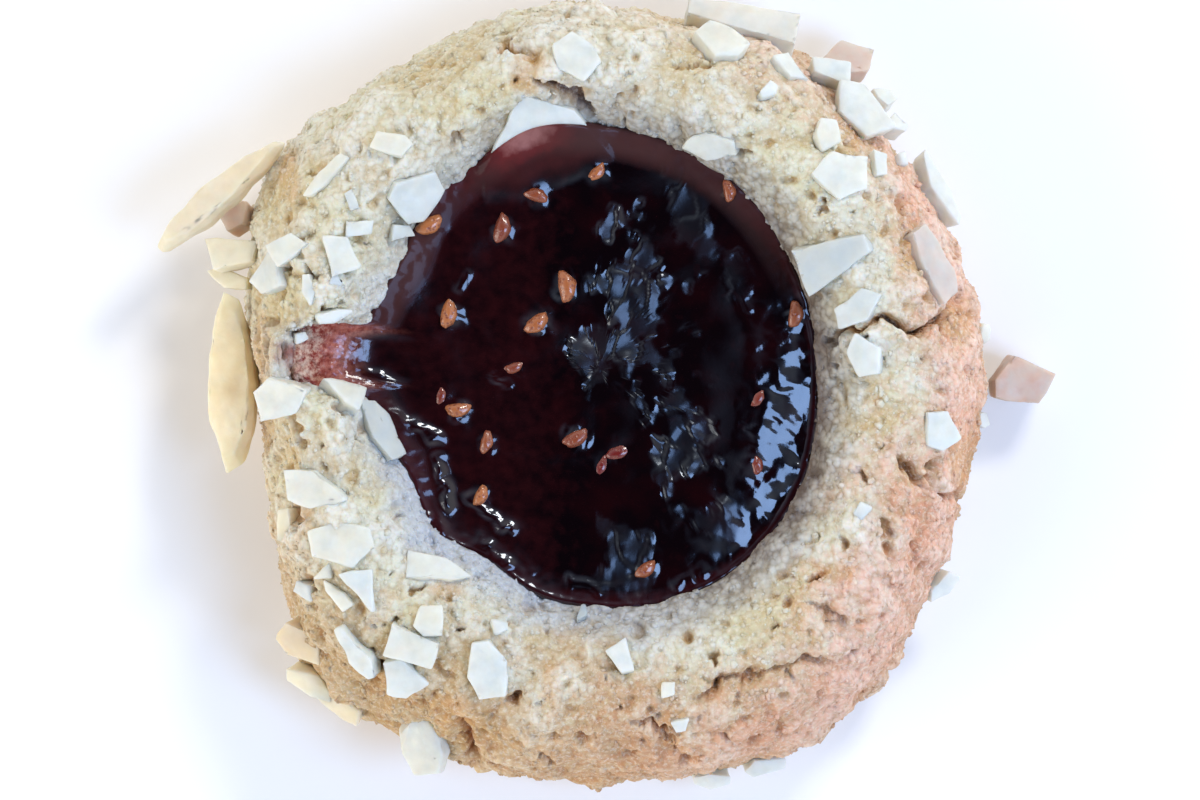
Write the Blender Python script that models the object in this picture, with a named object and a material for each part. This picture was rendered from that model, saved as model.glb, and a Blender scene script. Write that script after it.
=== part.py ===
"""A thumbprint cookie: a thick round of crumbly almond dough, cracked on top and browned at its
edge, with chopped almonds pressed into it and a well of seedy berry jam.

The origin is the centre of the flat underside. +Z is up, and +X and +Y are the right and the top
of the cookie as it is seen from above. Blender's unit is the metre, so each length is given in
millimetres times MM. A bearing is counted anticlockwise from +X, seen from above.
"""

import math
import random

import bmesh
import bpy
from mathutils import Matrix, Vector, noise
from mathutils.bvhtree import BVHTree

MM = 0.001

# The dough, as it is seen from the side.
RIM_HEIGHT = 16.0 * MM  # the crest of the ring round the jam
BELLY_HEIGHT = 4.6 * MM  # where the side bulges most
FOOT_INSET = 1.7 * MM  # how far the foot curls in under the belly
CREST_SHARE = 0.43  # the crest's place between the jam's edge and the cookie's edge
JAM_LEVEL = 12.3 * MM
JAM_EDGE_RISE = 0.6 * MM  # the jam climbs the dough a little where it meets it
JAM_DEPTH = 6.2 * MM
JAM_EDGE_THICKNESS = 0.45 * MM
TOUCHING_GAP = 0.3 * MM  # between pieces that touch

# The dough and the jam, as they are seen from above: radii in millimetres at even bearings.
EDGE_RADII = (
    27.5, 27.4, 27.7, 28.3, 28.6, 29.0, 29.2, 29.9, 29.8, 30.4, 31.2, 28.8,
    27.0, 27.1, 29.0, 31.0, 29.8, 29.6, 28.9, 29.2, 29.4, 28.8, 27.6, 27.3,
)
JAM_RADII = (
    16.1, 16.0, 16.1, 16.6, 17.1, 17.4, 17.8, 18.3, 17.5, 17.4, 16.4, 16.9,
    17.5, 16.2, 15.8, 16.8, 16.1, 17.0, 17.4, 17.8, 17.8, 17.6, 17.2, 16.5,
)
JAM_CENTRE = Vector((-1.5, 2.1, 0)) * MM

# The tongue of jam that has run up over the rim on the left.
TONGUE_BEARING = math.radians(177)
TONGUE_REACH = 4.6 * MM
TONGUE_RISE = 2.1 * MM
TONGUE_HALF_ANGLE = math.radians(9)
TONGUE_BLUNTNESS = 1.9

# The baked surface: broad lumps, smaller crags, and the cracks that opened in the oven.
LUMP_SIZE, LUMP_HEIGHT = 7.5 * MM, 0.9 * MM
CRAG_SIZE, CRAG_HEIGHT = 3.2 * MM, 1.2 * MM
# Each crack: its depth and half width, then the points it runs through, seen from above, in mm.
CRACKS = (
    (2.4, 1.0, ((16.0, 4.2), (19.4, 6.1), (20.6, 5.3), (22.3, 4.7), (24.0, 5.4), (24.8, 7.6))),
    (1.5, 0.9, ((5.9, -23.3), (7.8, -20.9), (9.6, -21.0), (13.7, -19.8), (17.4, -18.9))),
    (1.1, 0.8, ((11.1, -14.3), (12.8, -14.9), (16.3, -16.6), (17.4, -18.9))),
    (2.0, 1.0, ((-8.6, 26.8), (-6.2, 25.1), (-7.4, 23.6), (-4.7, 23.2), (-2.1, 21.2))),
    (1.3, 0.8, ((0.8, 23.0), (0.1, 20.3))),
    (1.5, 0.8, ((-7.1, -22.4), (-9.1, -23.3))),
    (2.0, 1.2, ((-11.7, -24.6), (-10.8, -27.1))),
    (1.6, 0.9, ((2.8, -24.3), (3.8, -26.6))),
    (1.4, 0.9, ((21.3, -4.6), (22.3, -6.0), (24.1, -7.4), (26.8, -7.9))),
)

# How finely the round pieces are divided.
BEARING_STEPS = 120
FOOT_RINGS, SIDE_RINGS, LIP_RINGS = 3, 9, 5
WELL_SHARES = (1.0, 0.94, 0.84, 0.68, 0.4, 0.0)
JAM_TOP_SHARES = (1.0, 0.97, 0.92, 0.85, 0.75, 0.62, 0.48, 0.32, 0.16, 0.0)

# The jam's own surface and its seeds.
PULP_SIZE, PULP_HEIGHT = 4.2 * MM, 0.3 * MM
SEED_SIZE = Vector((2.3, 1.4, 1.1)) * MM
SEED_PROUD = 0.25 * MM
# Each seed that breaks the surface: x and y in mm, and the bearing it points along in degrees.
SEEDS = (
    (-12.6, 5.6, 75), (-6.1, 5.6, 40), (-3.8, 8.4, 105), (-13.0, 12.0, 30), (-8.6, 12.5, 75),
    (-6.0, 15.1, 165), (-1.6, 16.8, 50), (-11.9, -1.0, 0), (-3.1, -2.9, 30), (-10.2, -7.2, 65),
    (7.4, 14.2, 100), (12.3, 5.5, 85), (2.1, -12.8, 40), (0.0, -5.0, 35),
)

# Each almond chip that lies on the dough: x and y in mm, its length and width in mm, the bearing
# of its long side in degrees, how much it narrows towards its far end, its corners, and the cut,
# a number that picks one of the uneven outlines that a piece of its kind can have.
CHIPS = (
    (-25.9, 9.2, 3.3, 3.0, -70, 0, 5, 4),
    (-24.2, 10.9, 3.7, 2.3, 15, 0.3, 4, 6),
    (-20.6, 10.6, 3.3, 2.5, 100, 0.1, 4, 7),
    (-19.3, 12.7, 2.5, 1.5, 10, 0.1, 4, 4),
    (-20.9, 8.6, 1.9, 1.3, 140, 0, 3, 0),
    (-21.6, 16.3, 4.6, 1.1, 45, 0, 6, 4),
    (-19.8, 14.5, 1.9, 1.0, -65, 0, 4, 0),
    (-16.8, 18.7, 3.4, 1.9, 175, 0, 5, 0),
    (-15.2, 15.3, 4.3, 3.9, 40, 0, 6, 3),
    (-16.2, 12.4, 2.1, 1.3, 0, 0.2, 4, 4),
    (-21.1, 6.1, 2.9, 1.0, 8, 0, 6, 0),
    (-22.9, 8.0, 2.4, 1.1, 100, 0, 5, 1),
    (-25.0, 0.1, 4.5, 3.3, 202, -0.1, 5, 4),
    (-20.7, 0.1, 3.6, 2.1, -15, -0.3, 5, 0),
    (-18.0, -2.3, 5.8, 2.2, -57, 0, 6, 3),
    (-22.3, -6.8, 5.4, 3.1, 170, 0.1, 5, 0),
    (-20.3, -10.8, 5.2, 3.6, 5, 0.1, 6, 0),
    (-18.7, -13.9, 3.9, 2.5, 127, 0, 3, 2),
    (-20.8, -14.6, 3.1, 1.1, -45, 0, 5, 0),
    (-21.8, -13.1, 1.6, 1.1, 20, 0, 3, 0),
    (-23.2, -14.3, 1.9, 1.1, -10, 0, 4, 0),
    (-13.5, -13.0, 5.4, 2.2, 172, -0.3, 5, 6),
    (-13.9, -16.7, 2.9, 2.5, 75, 0, 5, 6),
    (-15.2, -18.4, 4.2, 2.7, -15, 0.3, 4, 3),
    (-16.1, -20.8, 3.8, 3.1, -40, 0, 5, 4),
    (-9.6, -20.2, 4.6, 3.3, -80, 0, 6, 1),
    (-8.8, -17.2, 1.3, 1.1, 0, 0, 4, 1),
    (-19.3, -18.9, 5.0, 1.9, -60, 0, 6, 2),
    (0.4, -19.5, 2.7, 2.0, -60, 0.3, 4, 2),
    (-2.7, -16.3, 1.6, 0.9, 80, 0, 5, 1),
    (23.8, -2.5, 3.3, 2.9, 100, 0, 5, 0),
    (7.5, 26.1, 4.0, 3.6, -40, 0, 6, 2),
    (12.8, 24.1, 3.0, 1.8, -60, 0.1, 4, 6),
    (15.4, 19.3, 2.6, 1.9, 80, 0.1, 5, 3),
    (16.3, 16.3, 3.8, 4.6, 90, 0, 5, 4),
    (19.3, 17.2, 2.3, 1.3, 80, 0.2, 4, 0),
    (7.0, 18.9, 4.5, 2.6, -5, 0, 6, 7),
    (11.1, 22.6, 1.6, 1.1, 60, 0, 5, 0),
    (16.1, 10.4, 6.1, 4.0, 205, -0.4, 4, 0),
    (17.9, 6.6, 4.3, 2.3, 42, 0, 5, 2),
    (18.4, 3.2, 3.4, 2.9, -80, 0.1, 5, 5),
    (23.2, 9.9, 6.3, 2.8, -62, 0, 6, 0),
    (-3.1, 25.1, 3.9, 3.3, -50, 0, 6, 0),
    (-24.5, -9.8, 3.3, 1.9, 95, 0.1, 4, 3),
    (18.1, -8.5, 1.2, 1.0, 60, 0, 4, 0),
    (3.7, -21.7, 1.4, 1.0, 80, 0, 4, 1),
    (4.6, -24.3, 1.5, 1.0, 10, 0, 4, 2),
    (-23.7, 4.5, 1.1, 0.8, 20, 0, 4, 3),
    (22.4, 17.8, 1.2, 0.9, 70, 0, 4, 4),
)
CHIP_THICKNESS = 2.0 * MM
SMALL_CHIP_THICKNESS, THICKER_PER_WIDTH = 0.5 * MM, 0.75  # for a chip too narrow for that
CHIP_SUNK = 0.56  # the share of a chip's thickness that is pressed into the dough
OWN_PIECE_LENGTH = 4.6  # an almond this long, in mm, is a piece of its own; a smaller one is baked in

# Each almond that stands off the side: x, y and z in mm, its length, width and thickness in mm,
# the bearing of its long side, the bearing that its broad face leans to and how far it leans, in
# degrees, how much it narrows, its corners and its cut.
EDGE_ALMONDS = (
    ("almond_sliver_upper_left", -29.8, 15.1, 8.8, 12.8, 2.4, 2.0, 41, 131, 25, 0, 10, 5),
    ("almond_sliver_left", -28.9, 1.1, 8.2, 13.5, 3.8, 2.2, 91, 180, 20, 0.15, 10, 2),
    ("almond_slab_top", 9.2, 27.8, 8.4, 9.3, 3.1, 2.4, -9, 75, 38, -0.5, 4, 1),
    ("almond_flake_top", -6.4, 19.9, 13.4, 8.9, 7.3, 1.6, 16, 285, 30, 0.1, 5, 1),
    ("almond_flake_right", 23.8, 15.5, 7.6, 6.3, 1.8, 1.6, -62, 28, 45, 0, 6, 7),
    ("almond_chunk_right", 30.3, 1.3, 3.4, 5.2, 4.3, 4.2, 195, 0, 10, 0.1, 5, 1),
    ("almond_block_left", -28.7, 10.6, 8.4, 5.0, 2.6, 1.9, -3, 160, 28, 0.1, 4, 0),
    ("almond_wedge_left", -29.0, 8.8, 7.0, 3.8, 1.6, 1.8, -15, 170, 30, 0, 5, 0),
    ("almond_brown_left", -28.6, 13.5, 6.2, 2.7, 2.2, 1.8, 60, 150, 35, 0, 5, 0),
    ("almond_tan_lower_left", -23.4, -18.1, 8.4, 3.9, 2.9, 2.2, -5, 218, 38, 0, 5, 4),
    ("almond_cream_lower_left", -22.9, -21.2, 6.4, 4.2, 1.9, 1.8, -22, 222, 35, 0, 6, 5),
    ("almond_gold_lower_left", -20.8, -22.9, 6.4, 4.2, 1.9, 1.8, -30, 228, 35, 0, 6, 4),
    ("almond_block_bottom", -14.5, -25.8, 8.6, 5.2, 3.8, 2.6, 95, 240, 26, 0, 8, 0),
    ("almond_brown_top", 17.1, 25.3, 4.6, 4.5, 3.1, 1.8, 0, 56, 35, 0, 5, 3),
    ("almond_chip_top_right", 15.8, 24.2, 9.2, 3.4, 2.2, 1.9, -10, 57, 32, -0.1, 4, 2),
    ("almond_block_top_right", 17.9, 21.3, 10.8, 5.4, 3.1, 2.2, -50, 49, 28, 0, 5, 0),
    ("almond_bit_top_right", 19.8, 22.4, 6.4, 2.1, 1.5, 1.6, -40, 48, 40, 0, 5, 0),
    ("almond_bit_right", 20.6, 20.3, 7.2, 1.9, 1.6, 1.8, -20, 44, 40, 0, 5, 0),
    ("almond_wedge_lower_right", 24.0, -14.2, 6.2, 3.0, 1.8, 1.7, 55, 330, 42, 0, 5, 1),
    ("almond_wedge_bottom", 10.9, -27.5, 4.8, 3.3, 1.6, 1.7, 5, 292, 35, 0, 5, 3),
    ("almond_bits_bottom", 7.0, -28.6, 4.2, 3.1, 1.5, 1.5, -8, 284, 35, 0, 6, 0),
    ("almond_speck_right", 27.2, 4.6, 4.8, 1.8, 1.1, 1.4, 85, 5, 45, 0, 5, 0),
    ("almond_speck_lower_right", 27.3, -1.7, 4.0, 1.5, 1.2, 1.5, -40, 355, 40, 0, 5, 0),
)

COLOURS = {
    "dough": ((0.80, 0.62, 0.38), 0.85),
    "jam": ((0.045, 0.004, 0.008), 0.12),
    "almond": ((0.86, 0.80, 0.66), 0.5),
}


def material(name):
    """The material of that name, made the first time that it is asked for."""
    found = bpy.data.materials.get(name)
    if found:
        return found
    colour, roughness = COLOURS[name]
    made = bpy.data.materials.new(name)
    made.use_nodes = True
    shader = made.node_tree.nodes["Principled BSDF"]
    shader.inputs["Base Color"].default_value = (*colour, 1.0)
    shader.inputs["Roughness"].default_value = roughness
    shader.inputs["Metallic"].default_value = 0.0
    return made


def clear_scene():
    for obj in list(bpy.data.objects):
        bpy.data.objects.remove(obj)


def new_object(name, shape, finish):
    """An object of a bmesh, which is freed."""
    mesh = bpy.data.meshes.new(name)
    shape.to_mesh(mesh)
    shape.free()
    mesh.materials.append(material(finish))
    obj = bpy.data.objects.new(name, mesh)
    bpy.context.scene.collection.objects.link(obj)
    return obj


def eased(share):
    """0 to 1, starting and ending level."""
    share = min(max(share, 0.0), 1.0)
    return share * share * (3 - 2 * share)


def along(bearing):
    return Vector((math.cos(bearing), math.sin(bearing), 0))


def around(radii, bearing):
    """The radius at a bearing, on a smooth closed curve through evenly spaced ones."""
    place = bearing % math.tau / math.tau * len(radii)
    first = math.floor(place)
    t = place - first
    a, b, c, d = (radii[(first + step) % len(radii)] for step in (-1, 0, 1, 2))
    curve = 2 * b + (c - a) * t + (2 * a - 5 * b + 4 * c - d) * t**2
    return 0.5 * (curve + (3 * b - a - 3 * c + d) * t**3) * MM


def tongue(bearing):
    """1 across the blunt end of the tongue of jam, easing to 0 at its sides."""
    off = abs((bearing - TONGUE_BEARING + math.pi) % math.tau - math.pi)
    return eased((1 - off / TONGUE_HALF_ANGLE) * TONGUE_BLUNTNESS)


def jam_radius(bearing):
    return around(JAM_RADII, bearing) + TONGUE_REACH * tongue(bearing)


def jam_edge_height(bearing):
    return JAM_LEVEL + JAM_EDGE_RISE + TONGUE_RISE * tongue(bearing)


def jam_top(share, bearing):
    """The jam's height at a share of the way from its centre to its edge."""
    rise = jam_edge_height(bearing) - JAM_LEVEL
    return JAM_LEVEL + rise * share**7


def jam_thickness(share):
    return JAM_EDGE_THICKNESS + (JAM_DEPTH - JAM_EDGE_THICKNESS) * (1 - share**3.2)


def dough_rings():
    """(stretch, share) of each ring of the dough, from the middle of its underside, round its
    side and over its rim, to the middle of its well."""
    rings = [("underside", 0.0)]
    rings += [("foot", step / FOOT_RINGS) for step in range(FOOT_RINGS + 1)]
    rings += [("side", step / SIDE_RINGS) for step in range(1, SIDE_RINGS + 1)]
    rings += [("lip", step / LIP_RINGS) for step in range(1, LIP_RINGS + 1)]
    return rings + [("well", share) for share in WELL_SHARES]


def dough_point(ring, bearing):
    """Where a ring of the dough is at a bearing, before it is made lumpy."""
    stretch, share = ring
    turn = share * math.pi / 2
    edge = along(bearing) * around(EDGE_RADII, bearing)
    well = JAM_CENTRE + along(bearing) * (jam_radius(bearing) + TOUCHING_GAP)
    crest = well.lerp(edge, CREST_SHARE)
    if stretch == "underside":
        place, height = Vector((0, 0, 0)), 0.0
    elif stretch == "foot":
        place = edge - along(bearing) * FOOT_INSET * (1 - math.sin(turn))
        height = BELLY_HEIGHT * (1 - math.cos(turn))
    elif stretch == "side":
        place = crest.lerp(edge, max(math.cos(turn), 0) ** 0.95)
        height = BELLY_HEIGHT + (RIM_HEIGHT - BELLY_HEIGHT) * math.sin(turn)
    elif stretch == "lip":
        place = crest.lerp(well, share)
        height = RIM_HEIGHT - (RIM_HEIGHT - jam_edge_height(bearing)) * share**1.9
    else:
        place = JAM_CENTRE.lerp(well, share)
        height = jam_top(share, bearing) - jam_thickness(share) - TOUCHING_GAP
    return Vector((place.x, place.y, height))


def dough_relief_share(ring):
    """How much of the relief a ring takes: none where it rests on something or holds the jam."""
    stretch, share = ring
    shares = {"underside": 0.0, "foot": 0.8 * share**2, "side": 1.0, "lip": 1 - 0.75 * share, "well": 0.0}
    return shares[stretch]


def jam_rings():
    """(face, share) of each ring of the jam, from the middle below to the middle on top."""
    return [("below", share) for share in reversed(WELL_SHARES)] + [("top", share) for share in JAM_TOP_SHARES]


def jam_point(ring, bearing):
    face, share = ring
    place = JAM_CENTRE + along(bearing) * jam_radius(bearing) * share
    height = jam_top(share, bearing)
    if face == "below":
        height -= jam_thickness(share)
    return Vector((place.x, place.y, height))


def spun(rings, point):
    """A closed form of rings, each put where point(ring, bearing) says: a straight guide with a
    vertex for each ring is spun round the axis, and its copies are moved into place."""
    shape = bmesh.new()
    guide = [shape.verts.new((1 + number, 0, 0)) for number in range(len(rings))]
    edges = [shape.edges.new(pair) for pair in zip(guide, guide[1:])]
    bmesh.ops.spin(
        shape, geom=guide + edges, axis=(0, 0, 1), angle=math.tau, steps=BEARING_STEPS, use_merge=True
    )
    ring_of = {}
    for vert in shape.verts:
        ring = rings[round(vert.co.xy.length) - 1]
        ring_of[vert] = ring
        vert.co = point(ring, math.atan2(vert.co.y, vert.co.x))
    ends = [vert for vert, ring in ring_of.items() if ring[1] == 0.0 and ring[0] not in ("foot", "side")]
    bmesh.ops.remove_doubles(shape, verts=ends, dist=0.01 * MM)
    bmesh.ops.recalc_face_normals(shape, faces=shape.faces)
    shape.normal_update()
    return shape, {vert: ring for vert, ring in ring_of.items() if vert.is_valid}


def off_line(place, start, end):
    """How far a place is from the straight line between two points, seen from above."""
    run = end - start
    share = min(max((place - start).dot(run) / run.length_squared, 0), 1)
    return (place - start - run * share).length


def crack_depth(place):
    """How deep the cracks are at a place, in metres."""
    flat = Vector((place.x, place.y)) / MM
    wander = 0.5 * noise.noise(place / (1.6 * MM))
    depth = 0.0
    for deep, half_width, points in CRACKS:
        points = [Vector(point) for point in points]
        off = min(off_line(flat, start, end) for start, end in zip(points, points[1:])) + wander
        depth = max(depth, deep * eased(1 - off / (1.6 * half_width)))
    return depth * MM


def relief(place):
    """How far the baked surface stands out from the plain form at a place: broad lumps, and crags
    with creases between them."""
    lumps = noise.noise(place / LUMP_SIZE) * LUMP_HEIGHT
    crags = (abs(noise.noise(place / CRAG_SIZE)) - 0.15) * CRAG_HEIGHT
    return lumps + crags - crack_depth(place)


def make_dough():
    """The dough, and its plain form for the almonds to be set on."""
    shape, ring_of = spun(dough_rings(), dough_point)
    form = BVHTree.FromBMesh(shape)
    for vert, ring in ring_of.items():
        vert.co += vert.normal * relief(vert.co) * dough_relief_share(ring)
    return new_object("dough", shape, "dough"), form


def make_jam():
    shape, ring_of = spun(jam_rings(), jam_point)
    for vert, (face, share) in ring_of.items():
        if face == "top":
            vert.co.z += PULP_HEIGHT * noise.noise(vert.co / PULP_SIZE) * (1 - share**6)
    return new_object("jam", shape, "jam")


def make_seed(number, surface):
    """One seed, lying in the jam with its back showing."""
    x, y, bearing = SEEDS[number]
    hit = surface.ray_cast(Vector((x, y, 50)) * MM, Vector((0, 0, -1)))[0]
    place = hit + Vector((0, 0, SEED_PROUD - SEED_SIZE.z / 2))
    size = Matrix.Diagonal((SEED_SIZE / 2).to_4d())
    turn = Matrix.Rotation(math.radians(bearing), 4, "Z")
    shape = bmesh.new()
    bmesh.ops.create_uvsphere(
        shape, u_segments=6, v_segments=4, radius=1, matrix=Matrix.Translation(place) @ turn @ size
    )
    return new_object(f"seed_{number}", shape, "jam")


def outline(narrowing, corners, rng):
    """An uneven polygon, one wide and one long, as x and y of each corner."""
    points = []
    for corner in range(corners):
        angle = (corner + 0.5 + rng.uniform(-0.3, 0.3)) / corners * math.tau
        reach = rng.uniform(1 - 0.9 / corners, 1 + 0.3 / corners)
        x, y = reach * math.cos(angle), reach * math.sin(angle)
        points.append((x, y * (1 - narrowing * x)))
    low_x, high_x = min(x for x, _ in points), max(x for x, _ in points)
    low_y, high_y = min(y for _, y in points), max(y for _, y in points)
    middle_x, middle_y = (low_x + high_x) / 2, (low_y + high_y) / 2
    return [((x - middle_x) / (high_x - low_x), (y - middle_y) / (high_y - low_y)) for x, y in points]


def nut_shape(size, narrowing, corners, key, matrix):
    """A chopped piece of almond, as the hull of its outline at two levels, or at three for a piece
    with many corners, which is rounder. key fixes its unevenness, so that a larger one of the
    same key has the same corners."""
    rng = random.Random(key)
    shape = bmesh.new()
    points = outline(narrowing, corners, rng)
    levels = ((-0.5, 0.92), (0.5, 0.97)) if corners < 7 else ((-0.5, 0.9), (0.1, 1.0), (0.5, 0.86))
    for level, spread in levels:
        for x, y in points:
            up = level + rng.uniform(-0.09, 0.09)
            reach = spread * rng.uniform(0.95, 1.03)
            shape.verts.new((x * reach * size.x, y * reach * size.y, up * size.z))
    made = bmesh.ops.convex_hull(shape, input=list(shape.verts))
    spare = {v for v in made["geom_interior"] + made["geom_unused"] if isinstance(v, bmesh.types.BMVert)}
    bmesh.ops.delete(shape, geom=list(spare), context="VERTS")
    bmesh.ops.transform(shape, matrix=matrix, verts=shape.verts)
    bmesh.ops.recalc_face_normals(shape, faces=shape.faces)
    return shape


def facing(normal, bearing, place):
    """A matrix that puts a flat piece at a place, its face along normal and its length along a
    bearing, as seen from above."""
    lengthways = along(bearing)
    lengthways = (lengthways - normal * lengthways.dot(normal)).normalized()
    return Matrix.Translation(place) @ Matrix((lengthways, normal.cross(lengthways), normal)).transposed().to_4x4()


def seat(form, x, y):
    """Where the plain form is under a point, and which way it faces there, evened out and turned
    up a little, because a pressed-in chip lies flatter than the dough round it."""
    reach = 1.3 * MM
    hits = []
    for dx, dy in ((0, 0), (reach, 0), (-reach, 0), (0, reach), (0, -reach)):
        place, normal, _, _ = form.ray_cast(Vector((x + dx, y + dy, 50 * MM)), Vector((0, 0, -1)))
        if place and normal.z > 0.05:
            hits.append((place, normal))
    facing_up = sum((normal for _, normal in hits), Vector((0, 0, 0.5 * len(hits)))).normalized()
    return hits[0][0], facing_up


def chip_thickness(width):
    return min(CHIP_THICKNESS, SMALL_CHIP_THICKNESS + THICKER_PER_WIDTH * width)


def nut_pieces(form):
    """(name, size, narrowing, corners, cut, matrix) of each almond: those that are pieces of their
    own, then those that are baked in."""
    placed = []
    for number, (x, y, length, width, bearing, narrowing, corners, cut) in enumerate(CHIPS, 1):
        place, normal = seat(form, x * MM, y * MM)
        size = Vector((length * MM, width * MM, chip_thickness(width * MM)))
        place = place + normal * size.z * (0.5 - CHIP_SUNK)
        matrix = facing(normal, math.radians(bearing), place)
        placed.append((f"almond_chip_{number:02}", size, narrowing, corners, cut, matrix))
    for name, x, y, z, length, width, thickness, bearing, leans_to, lean, *cuts in EDGE_ALMONDS:
        normal = Vector((0, 0, 1)).lerp(along(math.radians(leans_to)), lean / 90).normalized()
        matrix = facing(normal, math.radians(bearing), Vector((x, y, z)) * MM)
        placed.append((name, Vector((length, width, thickness)) * MM, *cuts, matrix))
    pieces = [piece for piece in placed if piece[1].x >= OWN_PIECE_LENGTH * MM]
    return pieces, [piece for piece in placed if piece not in pieces]


def apply_boolean(obj, operation, others):
    """Joins the others to obj, or cuts them from it, and removes them."""
    helpers = bpy.data.collections.new("helpers")
    for other in others:
        helpers.objects.link(other)
    modifier = obj.modifiers.new("with helpers", "BOOLEAN")
    modifier.operation = operation
    modifier.operand_type = "COLLECTION"
    modifier.collection = helpers
    graph = bpy.context.evaluated_depsgraph_get()
    mesh = bpy.data.meshes.new_from_object(obj.evaluated_get(graph), depsgraph=graph)
    obj.modifiers.clear()
    obj.data = mesh
    for other in others:
        bpy.data.objects.remove(other)
    bpy.data.collections.remove(helpers)


def islands(shape):
    """The separate bodies of a bmesh, as lists of vertices."""
    left, found = set(shape.verts), []
    while left:
        body, edge = set(), [left.pop()]
        while edge:
            vert = edge.pop()
            body.add(vert)
            near = {link.other_vert(vert) for link in vert.link_edges} & left
            left -= near
            edge += near
        found.append(list(body))
    return found


def tidy(obj):
    """Keeps the largest body of an object, and drops the scraps that a cut left."""
    shape = bmesh.new()
    shape.from_mesh(obj.data)
    bmesh.ops.triangulate(shape, faces=shape.faces)
    bmesh.ops.remove_doubles(shape, verts=shape.verts, dist=0.005 * MM)
    bodies = sorted(islands(shape), key=len)
    scraps = [vert for body in bodies[:-1] for vert in body]
    bmesh.ops.delete(shape, geom=scraps, context="VERTS")
    shape.to_mesh(obj.data)
    shape.free()


def make_nut(piece, extra=0.0):
    """An almond piece, made larger all round by extra."""
    name, size, narrowing, corners, cut, matrix = piece
    room = Vector((2, 2, 2)) * extra
    return new_object(name, nut_shape(size + room, narrowing, corners, f"{name} {cut}", matrix), "almond")


def main():
    clear_scene()
    dough, form = make_dough()
    jam = make_jam()
    surface = BVHTree.FromObject(jam, bpy.context.evaluated_depsgraph_get())
    apply_boolean(jam, "UNION", [make_seed(number, surface) for number in range(len(SEEDS))])
    pieces, baked_in = nut_pieces(form)
    apply_boolean(dough, "UNION", [make_nut(piece) for piece in baked_in])
    apply_boolean(dough, "DIFFERENCE", [make_nut(piece, TOUCHING_GAP) for piece in pieces])
    apply_boolean(jam, "DIFFERENCE", [make_nut(piece, TOUCHING_GAP) for piece in pieces + baked_in])
    tidy(dough)
    tidy(jam)
    for piece in pieces:
        make_nut(piece)


main()
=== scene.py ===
# %% [markdown]
# # A thumbprint cookie
#
# The cookie is one thick round of almond dough. The baker rolled it in chopped almonds, pressed
# a thumb into it and filled the hollow with seedy berry jam. In the oven the dough cracked and
# its outer edge browned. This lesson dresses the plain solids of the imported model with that
# surface: crumbs, browning, wet jam, seeds and clean-cut almonds.
#
# The solids come first, and stay where they are. Everything here is in metres, with the centre
# of the cookie's flat underside at the origin, so each length is written in millimetres and
# multiplied by `MM`. Every run has to make the same cookie, but Blender's noise vectors start from
# the clock unless they are given a seed, so `noise.seed_set` comes first.

# %% Load the solids
import math
import random

import bmesh
import bpy
import numpy as np
from mathutils import Matrix, Vector, noise
from mathutils.bvhtree import BVHTree


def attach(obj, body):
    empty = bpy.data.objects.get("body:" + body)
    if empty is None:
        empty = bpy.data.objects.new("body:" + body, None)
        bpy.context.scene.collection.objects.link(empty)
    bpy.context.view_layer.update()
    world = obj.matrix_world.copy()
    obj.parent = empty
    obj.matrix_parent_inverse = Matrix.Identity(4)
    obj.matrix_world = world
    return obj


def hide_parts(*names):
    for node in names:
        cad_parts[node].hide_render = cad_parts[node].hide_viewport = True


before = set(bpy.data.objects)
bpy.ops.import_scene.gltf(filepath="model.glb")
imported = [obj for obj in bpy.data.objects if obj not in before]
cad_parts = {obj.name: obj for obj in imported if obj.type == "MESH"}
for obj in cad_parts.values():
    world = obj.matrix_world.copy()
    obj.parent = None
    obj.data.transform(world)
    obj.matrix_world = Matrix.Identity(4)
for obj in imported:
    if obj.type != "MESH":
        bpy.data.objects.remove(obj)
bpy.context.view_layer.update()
MM = 0.001
noise.seed_set(3)
print("solids:", ", ".join(sorted(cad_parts)))

# %% [markdown]
# ## The camera and the light
#
# The cookie is seen from straight above, near enough to fill the picture. A very long lens keeps
# the rim from leaning outwards. The frame is 90 mm wide at the height of the cookie's side.

# %% Camera
PHOTO_WIDTH = 90 * MM
LENS, SENSOR = 280.0, 36.0
AIM = Vector((-1.35, -0.22, 9.0)) * MM

camera = bpy.data.objects.new("camera", bpy.data.cameras.new("camera"))
bpy.context.scene.collection.objects.link(camera)
camera.data.lens = LENS
camera.data.sensor_width = SENSOR
camera.data.clip_start = 0.01
camera.location = AIM + Vector((0, 0, PHOTO_WIDTH * LENS / SENSOR))
bpy.context.scene.camera = camera
print("camera height, mm:", round(camera.location.z / MM, 1))

# %% [markdown]
# Wet jam shows the room like a dark mirror. Looking straight down, its flat middle reflects what
# is overhead, and its sloping parts reflect what is at the side. So the sky here is dark overhead
# and light round the horizon. Two lamps stand at the right: a small white one at the top, for
# crisp glints and shadows, and a larger, bluish one like a window, nearer to overhead. A broad one
# fills in low at the left.


# %% Light
LAMP_DISTANCE = 0.45


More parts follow.
